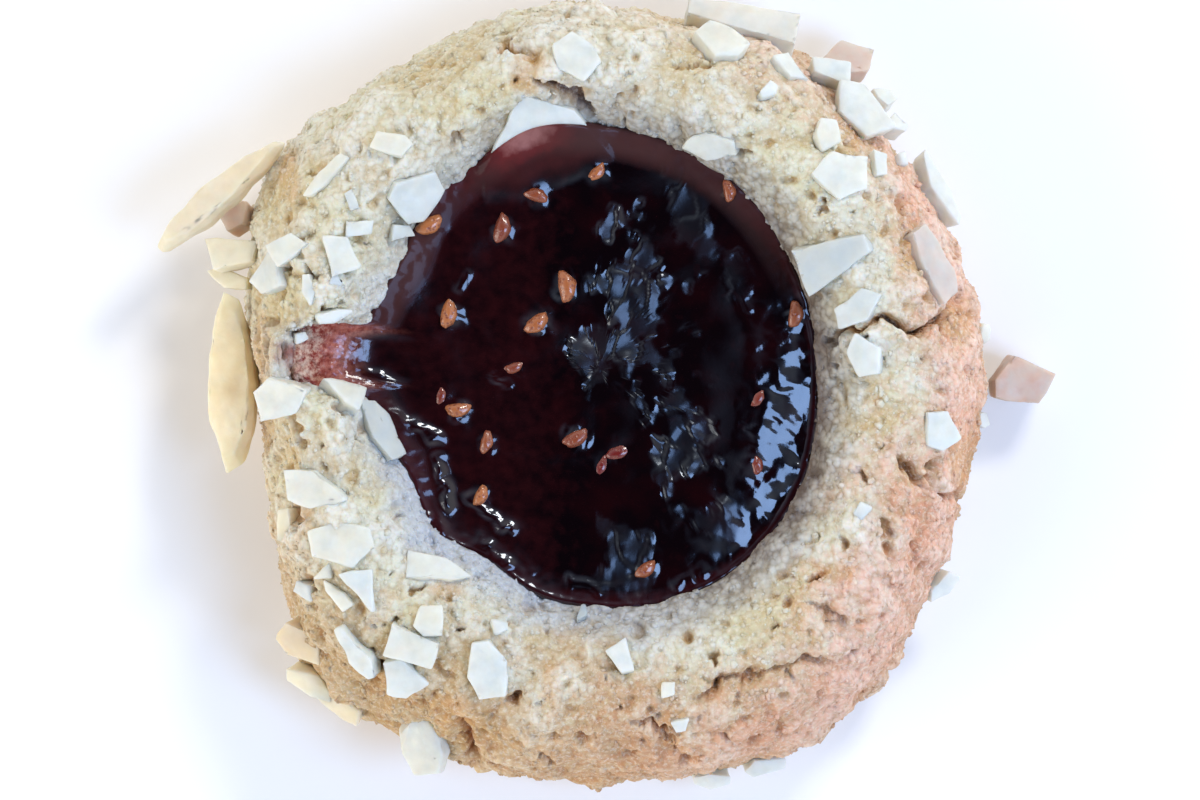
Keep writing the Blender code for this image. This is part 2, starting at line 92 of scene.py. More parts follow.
def sky():
    world = bpy.data.worlds.new("sky")
    bpy.context.scene.world = world
    world.use_nodes = True
    nodes, links = world.node_tree.nodes, world.node_tree.links
    direction = nodes.new("ShaderNodeTexCoord").outputs["Generated"]
    parts = nodes.new("ShaderNodeSeparateXYZ")
    links.new(direction, parts.inputs[0])
    ramp = nodes.new("ShaderNodeValToRGB")
    stops = ((0.0, (0.98, 0.97, 0.94)), (0.5, (0.92, 0.93, 0.95)), (0.8, (0.42, 0.46, 0.56)),
             (0.93, (0.12, 0.14, 0.20)), (0.985, (0.012, 0.012, 0.018)))
    while len(ramp.color_ramp.elements) < len(stops):
        ramp.color_ramp.elements.new(0.5)
    for element, (place, colour) in zip(ramp.color_ramp.elements, stops):
        element.position = place
        element.color = (*colour, 1.0)
    links.new(parts.outputs["Z"], ramp.inputs[0])
    background = nodes["Background"]
    links.new(ramp.outputs[0], background.inputs["Color"])
    background.inputs["Strength"].default_value = 0.95


def lamp(name, bearing, height_angle, size, power, colour):
    """A rectangular soft lamp that faces the cookie. Its angles are in degrees."""
    light = bpy.data.lights.new(name, "AREA")
    light.shape = "RECTANGLE"
    light.size, light.size_y = size
    light.energy = power
    light.color = colour
    obj = bpy.data.objects.new(name, light)
    bpy.context.scene.collection.objects.link(obj)
    turn, rise = math.radians(bearing), math.radians(height_angle)
    away = Vector((math.cos(turn) * math.cos(rise), math.sin(turn) * math.cos(rise), math.sin(rise)))
    obj.location = away * LAMP_DISTANCE
    obj.rotation_euler = away.to_track_quat("Z", "Y").to_euler()


sky()
lamp("key lamp", 58, 46, (0.09, 0.08), 0.65, (1.0, 0.96, 0.9))
lamp("window", -20, 57, (0.16, 0.25), 1.12, (0.42, 0.62, 1.0))
lamp("fill", 205, 30, (0.3, 0.25), 0.75, (1.0, 0.92, 0.81))
bpy.context.scene.view_settings.view_transform = "Standard"

# %% [markdown]
# ## Helpers for materials
#
# Every finish here is a Principled shader whose colour, roughness and bump come from noise in
# Object coordinates and from attributes: numbers that each piece carries on its vertices, such
# as how browned the dough is. A helper for each kind of node keeps the node code short. Wherever
# one takes a value, it also takes the name of an attribute or the six digits of a colour.


# %% Material helpers
def paint(code):
    """A colour written as six hexadecimal digits, as the linear values that a shader takes."""
    channels = [int(code[start : start + 2], 16) / 255 for start in (0, 2, 4)]
    return (*((c / 12.92 if c <= 0.04045 else ((c + 0.055) / 1.055) ** 2.4) for c in channels), 1.0)


class Finish:
    """A material and the few kinds of node that the finishes here are made of."""

    def __init__(self, name):
        self.material = bpy.data.materials.new(name)
        self.material.use_nodes = True
        self.nodes = self.material.node_tree.nodes
        self.shader = self.nodes["Principled BSDF"]
        self.place = self.nodes.new("ShaderNodeTexCoord").outputs["Object"]

    def give(self, socket, value):
        """Sets a socket to a number or a colour, or links it to a node or a named attribute."""
        if isinstance(value, str):
            value = self.attribute(value) if value.islower() else paint(value)
        if isinstance(value, bpy.types.NodeSocket):
            self.material.node_tree.links.new(value, socket)
        else:
            socket.default_value = value

    def set(self, **values):
        for name, value in values.items():
            self.give(self.shader.inputs[name.replace("_", " ")], value)

    def attribute(self, name):
        node = self.nodes.new("ShaderNodeAttribute")
        node.attribute_name = name
        return node.outputs["Fac"]

    def noise(self, size, detail=3.0, roughness=0.5):
        """Noise whose lumps are about size across, from 0 to 1."""
        node = self.nodes.new("ShaderNodeTexNoise")
        self.give(node.inputs["Vector"], self.place)
        node.inputs["Scale"].default_value = 1 / size
        node.inputs["Detail"].default_value = detail
        node.inputs["Roughness"].default_value = roughness
        return node.outputs["Fac"]

    def cells(self, size):
        """Rounded grains about size across: 0 at the middle of each, and most between them."""
        node = self.nodes.new("ShaderNodeTexVoronoi")
        self.give(node.inputs["Vector"], self.place)
        node.inputs["Scale"].default_value = 1 / size
        return node.outputs["Distance"]

    def spread(self, value, low, high, to_low=0.0, to_high=1.0):
        """value from low to high, stretched to run from to_low to to_high, and kept there."""
        node = self.nodes.new("ShaderNodeMapRange")
        for socket, number in zip(node.inputs, (value, low, high, to_low, to_high)):
            self.give(socket, number)
        return node.outputs[0]

    def ragged(self, name, size, low, high, detail=3.0):
        """An attribute with noise added to it, from low to high, so that it has no smooth edge."""
        return self.maths("ADD", name, self.spread(self.noise(size, detail), 0.3, 0.7, low, high))

    def maths(self, operation, first, second):
        node = self.nodes.new("ShaderNodeMath")
        node.operation = operation
        self.give(node.inputs[0], first)
        self.give(node.inputs[1], second)
        return node.outputs[0]

    def mix(self, share, first, second, mode="MIX"):
        node = self.nodes.new("ShaderNodeMix")
        node.data_type = "RGBA"
        node.blend_type = mode
        self.give(node.inputs[0], share)
        self.give(node.inputs[6], first)
        self.give(node.inputs[7], second)
        return node.outputs[2]

    def bump(self, height, distance, strength=1.0, under=None):
        node = self.nodes.new("ShaderNodeBump")
        self.give(node.inputs["Height"], height)
        node.inputs["Distance"].default_value = distance
        node.inputs["Strength"].default_value = strength
        if under:
            self.give(node.inputs["Normal"], under)
        return node.outputs[0]


print("white, as a shader takes it:", paint("FFFFFF"))

# %% [markdown]
# ## The form of the dough
#
# The dough is round, but not evenly so: its edge and its well are closed curves through radii
# measured at even bearings. One rule says where the surface is at any bearing, so the same form
# can be made with few faces, as the solid was, or with the hundred thousand that crumbs need.

# %% Sizes of the dough and the well
RIM_HEIGHT = 16.0 * MM
BELLY_HEIGHT = 4.6 * MM
FOOT_INSET = 1.7 * MM
CREST_SHARE = 0.43
JAM_LEVEL = 12.3 * MM
JAM_EDGE_RISE = 0.6 * MM
JAM_DEPTH = 6.2 * MM
JAM_EDGE_THICKNESS = 0.45 * MM
TOUCHING_GAP = 0.3 * MM
EDGE_RADII = (
    27.5, 27.4, 27.7, 28.3, 28.6, 29.0, 29.2, 29.9, 29.8, 30.4, 31.2, 28.8,
    27.0, 27.1, 29.0, 31.0, 29.8, 29.6, 28.9, 29.2, 29.4, 28.8, 27.6, 27.3,
)
JAM_RADII = (
    16.1, 16.0, 16.1, 16.6, 17.1, 17.4, 17.8, 18.3, 17.5, 17.4, 16.4, 16.9,
    17.5, 16.2, 15.8, 16.8, 16.1, 17.0, 17.4, 17.8, 17.8, 17.6, 17.2, 16.5,
)
JAM_CENTRE = Vector((-1.5, 2.1, 0)) * MM
TONGUE_BEARING, TONGUE_HALF_ANGLE, TONGUE_BLUNTNESS = math.radians(177), math.radians(9), 1.9
TONGUE_REACH, TONGUE_RISE = 4.6 * MM, 2.1 * MM
UP, DOWN = Vector((0, 0, 1)), Vector((0, 0, -1))


def eased(share):
    """0 to 1, starting and ending level."""
    share = min(max(share, 0.0), 1.0)
    return share * share * (3 - 2 * share)


def along(bearing):
    return Vector((math.cos(bearing), math.sin(bearing), 0))


def around(values, bearing):
    """The value at a bearing, on a smooth closed curve through evenly spaced ones."""
    place = bearing % math.tau / math.tau * len(values)
    first = math.floor(place)
    t = place - first
    a, b, c, d = (values[(first + step) % len(values)] for step in (-1, 0, 1, 2))
    curve = 2 * b + (c - a) * t + (2 * a - 5 * b + 4 * c - d) * t**2
    return 0.5 * (curve + (3 * b - a - 3 * c + d) * t**3)


def tongue(bearing):
    """1 across the blunt end of the tongue of jam on the rim, easing to 0 at its sides."""
    off = abs((bearing - TONGUE_BEARING + math.pi) % math.tau - math.pi)
    return eased((1 - off / TONGUE_HALF_ANGLE) * TONGUE_BLUNTNESS)


def jam_radius(bearing):
    return around(JAM_RADII, bearing) * MM + TONGUE_REACH * tongue(bearing)


def jam_edge_height(bearing):
    return JAM_LEVEL + JAM_EDGE_RISE + TONGUE_RISE * tongue(bearing)


def jam_top(share, bearing):
    return JAM_LEVEL + (jam_edge_height(bearing) - JAM_LEVEL) * share**7


def jam_thickness(share):
    return JAM_EDGE_THICKNESS + (JAM_DEPTH - JAM_EDGE_THICKNESS) * (1 - share**3.2)


def dough_point(ring, bearing):
    """Where a ring of the dough is at a bearing, before it is made rough."""
    stretch, share = ring
    turn = share * math.pi / 2
    edge = along(bearing) * around(EDGE_RADII, bearing) * MM
    well = JAM_CENTRE + along(bearing) * (jam_radius(bearing) + TOUCHING_GAP)
    crest = well.lerp(edge, CREST_SHARE)
    if stretch == "underside":
        place, height = Vector((0, 0, 0)), 0.0
    elif stretch == "foot":
        place = edge - along(bearing) * FOOT_INSET * (1 - math.sin(turn))
        height = BELLY_HEIGHT * (1 - math.cos(turn))
    elif stretch == "side":
        place = crest.lerp(edge, max(math.cos(turn), 0) ** 0.95)
        height = BELLY_HEIGHT + (RIM_HEIGHT - BELLY_HEIGHT) * math.sin(turn)
    elif stretch == "lip":
        place = crest.lerp(well, share)
        height = RIM_HEIGHT - (RIM_HEIGHT - jam_edge_height(bearing)) * share**1.9
    else:
        place = JAM_CENTRE.lerp(well, share)
        height = jam_top(share, bearing) - jam_thickness(share) - TOUCHING_GAP
    return Vector((place.x, place.y, height))


print("edge radius, mm:", min(EDGE_RADII), "to", max(EDGE_RADII))

# %% [markdown]
# A lathe is the natural tool for a round thing. `bmesh.ops.spin` carries a guide, one vertex for
# each ring, round the axis and joins the copies with faces. Each vertex is then moved to its own
# place on the uneven form, which keeps the tidy grid of faces that the spin made.


# %% Spinning a form
def spun(rings, point, steps):
    """A closed form whose rings run from a middle point to a middle point. It returns the bmesh
    and the ring and bearing of each vertex."""
    shape = bmesh.new()
    guide = [shape.verts.new((1 + number, 0, 0)) for number in range(len(rings))]
    edges = [shape.edges.new(pair) for pair in zip(guide, guide[1:])]
    bmesh.ops.spin(
        shape, geom=guide + edges, axis=(0, 0, 1), angle=math.tau, steps=steps, use_merge=True
    )
    known = {}
    for vert in shape.verts:
        ring = rings[round(vert.co.xy.length) - 1]
        bearing = math.atan2(vert.co.y, vert.co.x)
        known[vert] = (ring, bearing)
        vert.co = point(ring, bearing)
    ends = [vert for vert, (ring, _) in known.items() if ring in (rings[0], rings[-1])]
    bmesh.ops.remove_doubles(shape, verts=ends, dist=0.001 * MM)
    bmesh.ops.recalc_face_normals(shape, faces=shape.faces)
    shape.normal_update()
    return shape, {vert: value for vert, value in known.items() if vert.is_valid}


def evenly(stretch, count, first=1):
    return [(stretch, step / count) for step in range(first, count + 1)]


DOUGH_STEPS = 720
dough_rings = [("underside", 0.0)] + evenly("foot", 9, 0) + evenly("side", 54) + evenly("lip", 34)
dough_rings += [("well", share) for share in (1.0, 0.96, 0.85, 0.6, 0.3, 0.0)]
dough, dough_places = spun(dough_rings, dough_point, DOUGH_STEPS)
plain_form = BVHTree.FromBMesh(dough)
print("dough:", len(dough.verts), "vertices before it is roughened")

# %% [markdown]
# ## Crumb, crags and cracks
#
# Short dough breaks up as it bakes. From a distance it has lumps and crags, and a few cracks
# that follow the edge. Nearer, it is a heap of rounded grains of ground almond with small pits
# between them. Displacing the real mesh, rather than painting bump alone, gives crumbs that
# cast shadows and break the outline.
#
# The large cracks come first. Each is a line through a few points, and the dough is deeper the
# nearer it is to the line. Noise makes the line wander, and opens and closes the slit along it.

# %% Cracks
CRACK_REACH = 14  # mm, from a crack's first point to the farthest place that it changes
# Each crack: its depth and half width, then the points it runs through, seen from above, in mm.
CRACKS = (
    (1.8, 0.8, ((16.0, 4.2), (19.4, 6.1), (20.6, 5.3), (22.3, 4.7), (24.0, 5.4), (24.8, 7.6))),
    (1.1, 0.8, ((5.9, -23.3), (7.8, -20.9), (9.6, -21.0), (13.7, -19.8), (17.4, -18.9))),
    (1.1, 0.8, ((11.1, -14.3), (12.8, -14.9), (16.3, -16.6), (17.4, -18.9))),
    (2.0, 1.0, ((-8.6, 26.8), (-6.2, 25.1), (-7.4, 23.6), (-4.7, 23.2), (-2.1, 21.2))),
    (1.3, 0.8, ((0.8, 23.0), (0.1, 20.3))),
    (1.5, 0.8, ((-7.1, -22.4), (-9.1, -23.3))),
    (2.0, 1.2, ((-11.7, -24.6), (-10.8, -27.1))),
    (1.6, 0.9, ((2.8, -24.3), (3.8, -26.6))),
    (1.4, 0.9, ((21.3, -4.6), (22.3, -6.0), (24.1, -7.4), (26.8, -7.9))),
)
CRACK_LINES = [
    (deep, half_width, [Vector(point) for point in points]) for deep, half_width, points in CRACKS
]


def off_line(place, start, end):
    run = end - start
    share = min(max((place - start).dot(run) / run.length_squared, 0), 1)
    return (place - start - run * share).length


def crack_depth(place):
    """How deep the large cracks are at a place, in metres: a jagged slit between worn shoulders."""
    wander = noise.noise_vector(place / (1.7 * MM)) * 0.8 + noise.noise_vector(place / (0.6 * MM)) * 0.35
    flat = Vector((place.x, place.y)) / MM + wander.xy
    opened = eased(0.75 + 1.5 * noise.noise(place / (2.6 * MM)))
    depth = 0.0
    for deep, half_width, points in CRACK_LINES:
        if (points[0] - flat).length > CRACK_REACH:
            continue
        off = min(off_line(flat, start, end) for start, end in zip(points, points[1:])) / half_width
        shoulder = 0.28 * eased(1.1 - off)
        slit = 0.75 * opened * eased(1.5 - off / (0.16 + 0.14 * opened))
        depth = max(depth, deep * (shoulder + slit))
    return depth * MM


print("cracks:", len(CRACKS))

# %% [markdown]
# The rest of the relief is noise alone, and each size of roughness is one noise: smooth noise for
# lumps, folded noise for crags with creases between them, Voronoi cells for grains, and the top
# end of another noise for the small holes.

# %% Lumps, crags, crumb and holes
LUMP_SIZE, LUMP_HEIGHT = 7.5 * MM, 0.9 * MM
CRAG_SIZE, CRAG_HEIGHT = 3.2 * MM, 1.2 * MM


def hole(place):
    """How deep the small holes are where crumbs fell out, in metres."""
    warped = place + noise.noise_vector(place / (0.7 * MM)) * 0.6 * MM
    more_here = 0.3 * noise.noise(place / (6 * MM)) - (place.x + place.y) / (350 * MM)
    more_here -= 0.22 * eased((14 * MM - place.z) / (5 * MM))
    return eased((more_here - noise.noise(warped / (1.6 * MM)) - 0.45) * 5) * 1.0 * MM


def crags(place):
    lumps = noise.noise(place / LUMP_SIZE) * LUMP_HEIGHT
    warped = place + noise.noise_vector(place / (0.9 * MM)) * 0.3 * MM
    fold = math.sqrt(noise.noise(warped / CRAG_SIZE) ** 2 + 0.008)
    return lumps + (fold - 0.17) * CRAG_HEIGHT


def crumb(place):
    """The fine roughness: grains 1.2 and 0.6 mm across, and pits between them."""
    warped = place + noise.noise_vector(place / (1.1 * MM)) * 0.35 * MM
    coarse = 0.45 - noise.voronoi(warped / (1.2 * MM))[0][0]
    fine = 0.45 - noise.voronoi(warped / (0.6 * MM))[0][0]
    pit = max(-0.32 - noise.noise(place / (1.15 * MM)), 0) * 1.8
    rough = noise.noise(place / (0.45 * MM)) * 0.06
    return (coarse * 0.24 + fine * 0.24 - pit + rough) * MM


def rough_share(ring):
    """How much of the roughness a ring takes: none where it rests or holds the jam."""
    stretch, share = ring
    return {"foot": 0.8 * share**2, "side": 1.0, "lip": 1 - 0.42 * share}.get(stretch, 0.0)


print("roughness halfway down the lip:", rough_share(("lip", 0.5)))

# %% [markdown]
# Each vertex moves along its normal. All the moves are worked out before the first is made, and
# the hollows and the high places are noted on the way, because the colours paint an orange glow
# and shade into the hollows, and light on the high places.

# %% Roughening the dough
hollows, painted_light_heights, moves = {}, {}, {}
for vert, (ring, bearing) in dough_places.items():
    share = rough_share(ring)
    if not share:
        continue
    crack = max(crack_depth(vert.co), hole(vert.co))
    fine = crumb(vert.co)
    relief = crags(vert.co)
    moves[vert] = vert.normal * (relief - crack + fine) * share
    hollows[vert] = (crack - fine - 0.25 * MM) / (0.9 * MM)
    # How high a place stands: it sets the painted light on high places and the painted shade on low ones.
    painted_light_heights[vert] = 0.5 + (relief + 1.3 * fine) / (1.5 * MM)
for vert, move in moves.items():
    vert.co += move
print("roughened vertices:", len(moves))

# %% [markdown]
# ## Where the dough browned
#
# The oven browned the outer edge on the right and along the bottom of the picture, and left the
# rest cream. That can't be a noise alone, because it follows the cookie's form, so the script
# stores a number from 0 to 1 on each vertex. Others mark the hollows between grains, where an
# orange glow of light through the dough and a dark shade are painted, and the high places, which
# are painted paler, as light. Beside the jam the dough is painted grey at the right, as shade, and
# bluish white below, as the light of the bluish window lamp.

# %% Attributes of the dough
# How brown the edge is, and how far in from it that goes in mm, every 15 degrees.
BROWNING = (
    1.0, 0.95, 0.85, 0.75, 0.55, 0.4, 0.3, 0.15, 0.1, 0.1, 0.1, 0.2,
    0.3, 0.35, 0.55, 0.7, 0.8, 0.85, 0.9, 1.0, 1.0, 1.0, 1.0, 1.0,
)
BROWN_WIDTHS = (
    7.5, 6.0, 5.5, 5.0, 4.5, 4.0, 3.5, 3.0, 2.5, 2.5, 2.5, 2.5,
    2.5, 3.5, 6.0, 9.5, 10.5, 11.5, 11.0, 8.5, 8.5, 9.5, 9.5, 9.5,
)
# How much painted grey shade and how much painted bluish window light the dough beside the jam
# gets, every 30 degrees.
PAINTED_SHADE_BESIDE_JAM = (1.0, 0.9, 0.7, 0.6, 0.4, 0.1, 0.1, 0.1, 0.1, 0.4, 0.8, 1.0)
PAINTED_WINDOW_LIGHT = (0.2, 0.1, 0.3, 0.4, 0.3, 0.4, 0.5, 1.0, 1.0, 0.8, 0.5, 0.3)


def browned(place):
    """0 on pale dough to 1 on the brown edge."""
    bearing = math.atan2(place.y, place.x)
    inside = around(EDGE_RADII, bearing) - place.xy.length / MM
    width = around(BROWN_WIDTHS, bearing)
    ragged = noise.noise(place / (4 * MM)) * 0.35 + noise.noise(place / (1.3 * MM)) * 0.25
    low = eased((7 * MM - place.z) / (6 * MM)) * 0.75
    return min(max(around(BROWNING, bearing) * (1.25 - inside / width + ragged), low, 0.0), 1.0)


def beside_jam(place, amounts):
    """An amount that depends on the bearing, at the jam's edge, to 0 from 4 mm away."""
    off = (place - JAM_CENTRE).xy
    bearing = math.atan2(off.y, off.x)
    ragged = noise.noise(place / (1.2 * MM)) * 0.8 * MM
    near = eased(1 - (off.length - jam_radius(bearing) + ragged) / (4.2 * MM))
    return near * around(amounts, bearing)


# Where jam soaked into the dough round the film that ran over the rim, and where an orange-brown
# shadow is painted on the dough, mostly in the shade of an almond: x, y, half the width and half
# the height in mm.
STAINS = ((-21.6, 2.9, 3.4, 1.9),)
PAINTED_ALMOND_SHADOWS = (
    (-26.6, 0.9, 1.0, 6.4), (-24.6, 16.3, 1.0, 2.6), (21.7, 9.4, 0.9, 3.0), (25.5, 5.6, 1.5, 1.8),
    (25.8, -5.0, 1.2, 2.2), (23.6, -2.3, 1.0, 1.6), (-17.4, -21.9, 1.0, 2.0), (-12.2, -23.4, 2.4, 1.4),
    (-5.0, -21.6, 0.8, 2.6), (4.0, -24.6, 1.2, 2.0), (16.2, -13.0, 1.6, 0.8), (17.4, 20.3, 0.8, 2.6),
    (-12.8, -14.4, 1.4, 0.9), (-23.6, -9.2, 0.9, 2.2), (-6.5, 24.0, 1.8, 1.6),
)


def within(place, spots):
    """1 inside any of some uneven ovals to 0 outside them."""
    ragged = noise.noise(place / (1.5 * MM)) * 0.35 + noise.noise(place / (0.6 * MM)) * 0.25
    x, y = place.x / MM, place.y / MM
    off = min(math.hypot((x - spot[0]) / spot[2], (y - spot[1]) / spot[3]) for spot in spots)
    return eased((1.2 - off + ragged) * 1.6)


print("browning at the right edge:", round(browned(along(0) * EDGE_RADII[0] * MM), 2))

# %% [markdown]
# Every piece is finished in the same way. The bmesh becomes a mesh, each attribute is written to
# its vertices, the mesh takes its finish, and the piece hangs from the empty of the body it rides on.


# %% Finishing a piece
def new_piece(name, shape, finish, attributes):
    """An object of a bmesh at the origin, with a number for each vertex from each attribute."""
    mesh = bpy.data.meshes.new(name)
    numbers = {}
    for label, values in attributes.items():
        look_up = values if callable(values) else values.get
        numbers[label] = [look_up(vert) or 0.0 for vert in shape.verts]
    shape.to_mesh(mesh)
    shape.free()
    for label, values in numbers.items():
        mesh.attributes.new(label, "FLOAT", "POINT").data.foreach_set("value", values)
    mesh.materials.append(finish.material)
    mesh.shade_smooth()
    piece = bpy.data.objects.new(name, mesh)
    bpy.context.scene.collection.objects.link(piece)
    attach(piece, "root")
    print(f"{name}: {len(mesh.vertices)} vertices, {len(mesh.polygons)} faces")
    return piece


# %% [markdown]
# ## The finish of the dough
#
# Pale dough is cream with yellower and whiter patches, and the crust is tan at the left and
# pinker at the right. Low places are painted deeper in colour, as shade, and high ones paler, as
# light. In the shade of some almonds an orange-brown shadow is painted on the dough. Fine noise
# breaks all of this up, so no edge is smooth.

# %% Dough colours: cream, browned, low and high
baked = Finish("baked dough")
patches = baked.spread(baked.noise(5 * MM, 4), 0.35, 0.65)
brown = baked.spread(baked.ragged("brown", 0.5 * MM, -0.2, 0.2, 4), 0.15, 1.0)


def by_crust(pale, left_crust, right_crust):
    return baked.mix(brown, pale, baked.mix("pink", left_crust, right_crust))


cream = baked.mix(patches, "DCD6B2", "DEDAC9")
colour = by_crust(cream, baked.mix(patches, "B68A54", "C6A26A"), baked.mix(patches, "E4A684", "ECBDA4"))
# Painted shadow: orange-brown on the dough where almonds shade it.
colour = baked.mix(baked.spread("warm", 0, 1, 0, 0.6), colour, "D09A58")
# Painted shade and light: low places are deeper in colour and high places paler, as if lit.
painted_shade_low_colour = by_crust("CEB484", "B48E5E", "CB9068")
painted_light_high_colour = by_crust("ECEADF", "E0C69A", "EEC8B2")
colour = baked.mix(baked.spread("high", 0.1, 0.55, 0.8, 0.0), colour, painted_shade_low_colour)
colour = baked.mix(baked.spread("high", 0.5, 0.95, 0.0, 0.8), colour, painted_light_high_colour)
print("dough finish:", len(baked.nodes), "nodes so far")

# %% [markdown]
# Two sizes of Voronoi cells draw the grains. The gaps between them are painted darker, as shade,
# the holes are painted orange, as light through the dough, and then dark brown, as shade, and pale
# flecks are scattered over everything. Beside the jam the dough is painted bluish white below, as
# window light, and grey at the right, as shade, and where jam soaked into it, it is red-brown.

# %% Dough colours: between the grains and beside the jam
domes = baked.maths("POWER", baked.cells(0.48 * MM), 2.0)
large_domes = baked.maths("POWER", baked.cells(0.95 * MM), 2.0)
grain_gaps_for_shade = baked.maths("ADD", domes, large_domes)
# Painted shade: the gaps between the grains are darker.
colour = baked.mix(baked.spread(grain_gaps_for_shade, 0.35, 1.1, 0.0, 0.52), colour, baked.mix(brown, "CDB27E", "BC8A62"))
# Painted light and shade in the holes: an orange glow of light through the dough, and dark brown shade in
# the deepest.
hollow_glow_colour = baked.mix(brown, "C79A5E", "A8653A")
colour = baked.mix(baked.spread("hollow", 0.05, 1.0, 0.0, 0.85), colour, hollow_glow_colour)
colour = baked.mix(baked.spread("hollow", 0.9, 1.7, 0.0, 0.9), colour, "6A3F20")
flecks = baked.spread(baked.noise(0.3 * MM, 3, 0.7), 0.5, 0.66, 0.0, 0.42)
colour = baked.mix(flecks, colour, "F2EAD8")
# Painted light: the dough below the jam is bluish white, as if lit by the window lamp.
window_light_colour = baked.mix(flecks, "C0C4CA", "E6ECF2")
colour = baked.mix(baked.spread("frost", 0, 0.9, 0, 0.9), colour, window_light_colour)
# Painted shade: the dough beside the jam at the right is grey, and darkest at the jam.
jam_side_shade_colour = baked.mix(baked.spread(grain_gaps_for_shade, 0.2, 0.9), "B9B4AB", "756B62")
colour = baked.mix(baked.spread("damp", 0, 0.8, 0, 0.85), colour, jam_side_shade_colour)
colour = baked.mix(baked.spread("damp", 0.7, 1.0, 0, 0.7), colour, "5A4640")
stain_colour = baked.mix(flecks, "8A4238", "B07468")
colour = baked.mix(baked.maths("MULTIPLY", "stain", 0.85), colour, stain_colour)
print("dough finish:", len(baked.nodes), "nodes so far")

# %% [markdown]
# The same cells give the finest relief, as bump, with a grit of noise under them. A little
# subsurface light keeps the dough from looking like plaster. Only the dough carries the attribute
# `body`, so the loose grains, which are too small for such light, get none.

# %% Dough finish and piece
fine = baked.bump(baked.noise(0.2 * MM, 4, 0.65), 0.07 * MM, 0.7)
fine = baked.bump(domes, -0.19 * MM, 0.85, fine)
fine = baked.bump(large_domes, -0.3 * MM, 0.7, fine)
dry = baked.spread(baked.noise(0.6 * MM), 0.3, 0.7, 0.6, 0.9)
baked.set(
    Base_Color=colour,
    Roughness=baked.maths("SUBTRACT", dry, baked.maths("MULTIPLY", "stain", 0.35)),
    Normal=fine,
    Subsurface_Weight=baked.spread("body", 0, 1, 0, 0.6),
    Subsurface_Radius=(1.0, 0.75, 0.5),
    Subsurface_Scale=0.4 * MM,
    Specular_IOR_Level=0.3,
)
by_place = {
    "brown": lambda v: browned(v.co),
    "pink": lambda v: eased(0.45 + v.co.x / (34 * MM)) * eased(v.co.z / (11 * MM)),
    "damp": lambda v: beside_jam(v.co, PAINTED_SHADE_BESIDE_JAM),
    "frost": lambda v: beside_jam(v.co, PAINTED_WINDOW_LIGHT),
    "stain": lambda v: within(v.co, STAINS),
    "warm": lambda v: within(v.co, PAINTED_ALMOND_SHADOWS),
}
dough_piece = new_piece(
    "cookie_dough", dough, baked,
    {"hollow": hollows, "high": painted_light_heights, "body": lambda v: 1.0, **by_place},
)
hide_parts("dough")

# %% [markdown]
# ## Grains of ground almond
#
# Thousands of grains smaller than a millimetre stand half sunk in the dough, and make its outline
# rough. Each is a twenty-sided ball from `bmesh.ops.create_icosphere`, pushed out of shape. One
# bmesh per grain would be slow, so the balls are copied as arrays of numbers and joined. Each lies
# on a triangle of the dough that is drawn at random. The spin numbers the dough's faces in another
# order each run, so the triangles are sorted by their vertices before any is drawn.

# %% Grains
CRUMBS = 9500
CRUMB_SIZES = (0.12, 0.32)  # mm, from the middle to the surface
crumb_dice = np.random.default_rng(7)


def ball():
    """The vertices and faces of a twenty-sided ball."""
    shape = bmesh.new()
    bmesh.ops.create_icosphere(shape, subdivisions=1, radius=1)
    shape.verts.index_update()
    points = np.array([vert.co[:] for vert in shape.verts])
    faces = np.array([[vert.index for vert in face.verts] for face in shape.faces])
    shape.free()
    return points, faces


def scatter(mesh, count, dice):
    """Random places and normals on a mesh, even over its area, on what faces up or outwards."""
    mesh.calc_loop_triangles()
    total = len(mesh.loop_triangles)
    corners = np.empty(total * 3, np.int32)
    mesh.loop_triangles.foreach_get("vertices", corners)
    areas = np.empty(total)
    mesh.loop_triangles.foreach_get("area", areas)
    corners = corners.reshape(-1, 3)
    order = np.lexsort(corners.T)
    corners, areas = corners[order], areas[order]
    points = np.empty(len(mesh.vertices) * 3)
    mesh.vertices.foreach_get("co", points)
    triangles = points.reshape(-1, 3)[corners]
    middle = triangles.mean(axis=1)
    off = middle[:, :2] - np.array(JAM_CENTRE.xy)
    bearings = np.arctan2(off[:, 1], off[:, 0])
    wells = np.array([jam_radius(bearing) for bearing in bearings])
    deep = np.empty(len(mesh.vertices))
    mesh.attributes["hollow"].data.foreach_get("value", deep)
    free = (middle[:, 2] > 1.2 * MM) & (np.hypot(off[:, 0], off[:, 1]) > wells + 0.2 * MM)
    free &= deep[corners].max(axis=1) < 0.35
    areas = np.where(free, areas, 0)
    chosen = dice.choice(total, count, p=areas / areas.sum())
    a, b = dice.random((2, count, 1))
    flip = a + b > 1
    a, b = np.where(flip, 1 - a, a), np.where(flip, 1 - b, b)
    first, second, third = (triangles[chosen, corner] for corner in range(3))
    places = first + a * (second - first) + b * (third - first)
    normals = np.cross(second - first, third - first)
    return places, normals / np.linalg.norm(normals, axis=1, keepdims=True)


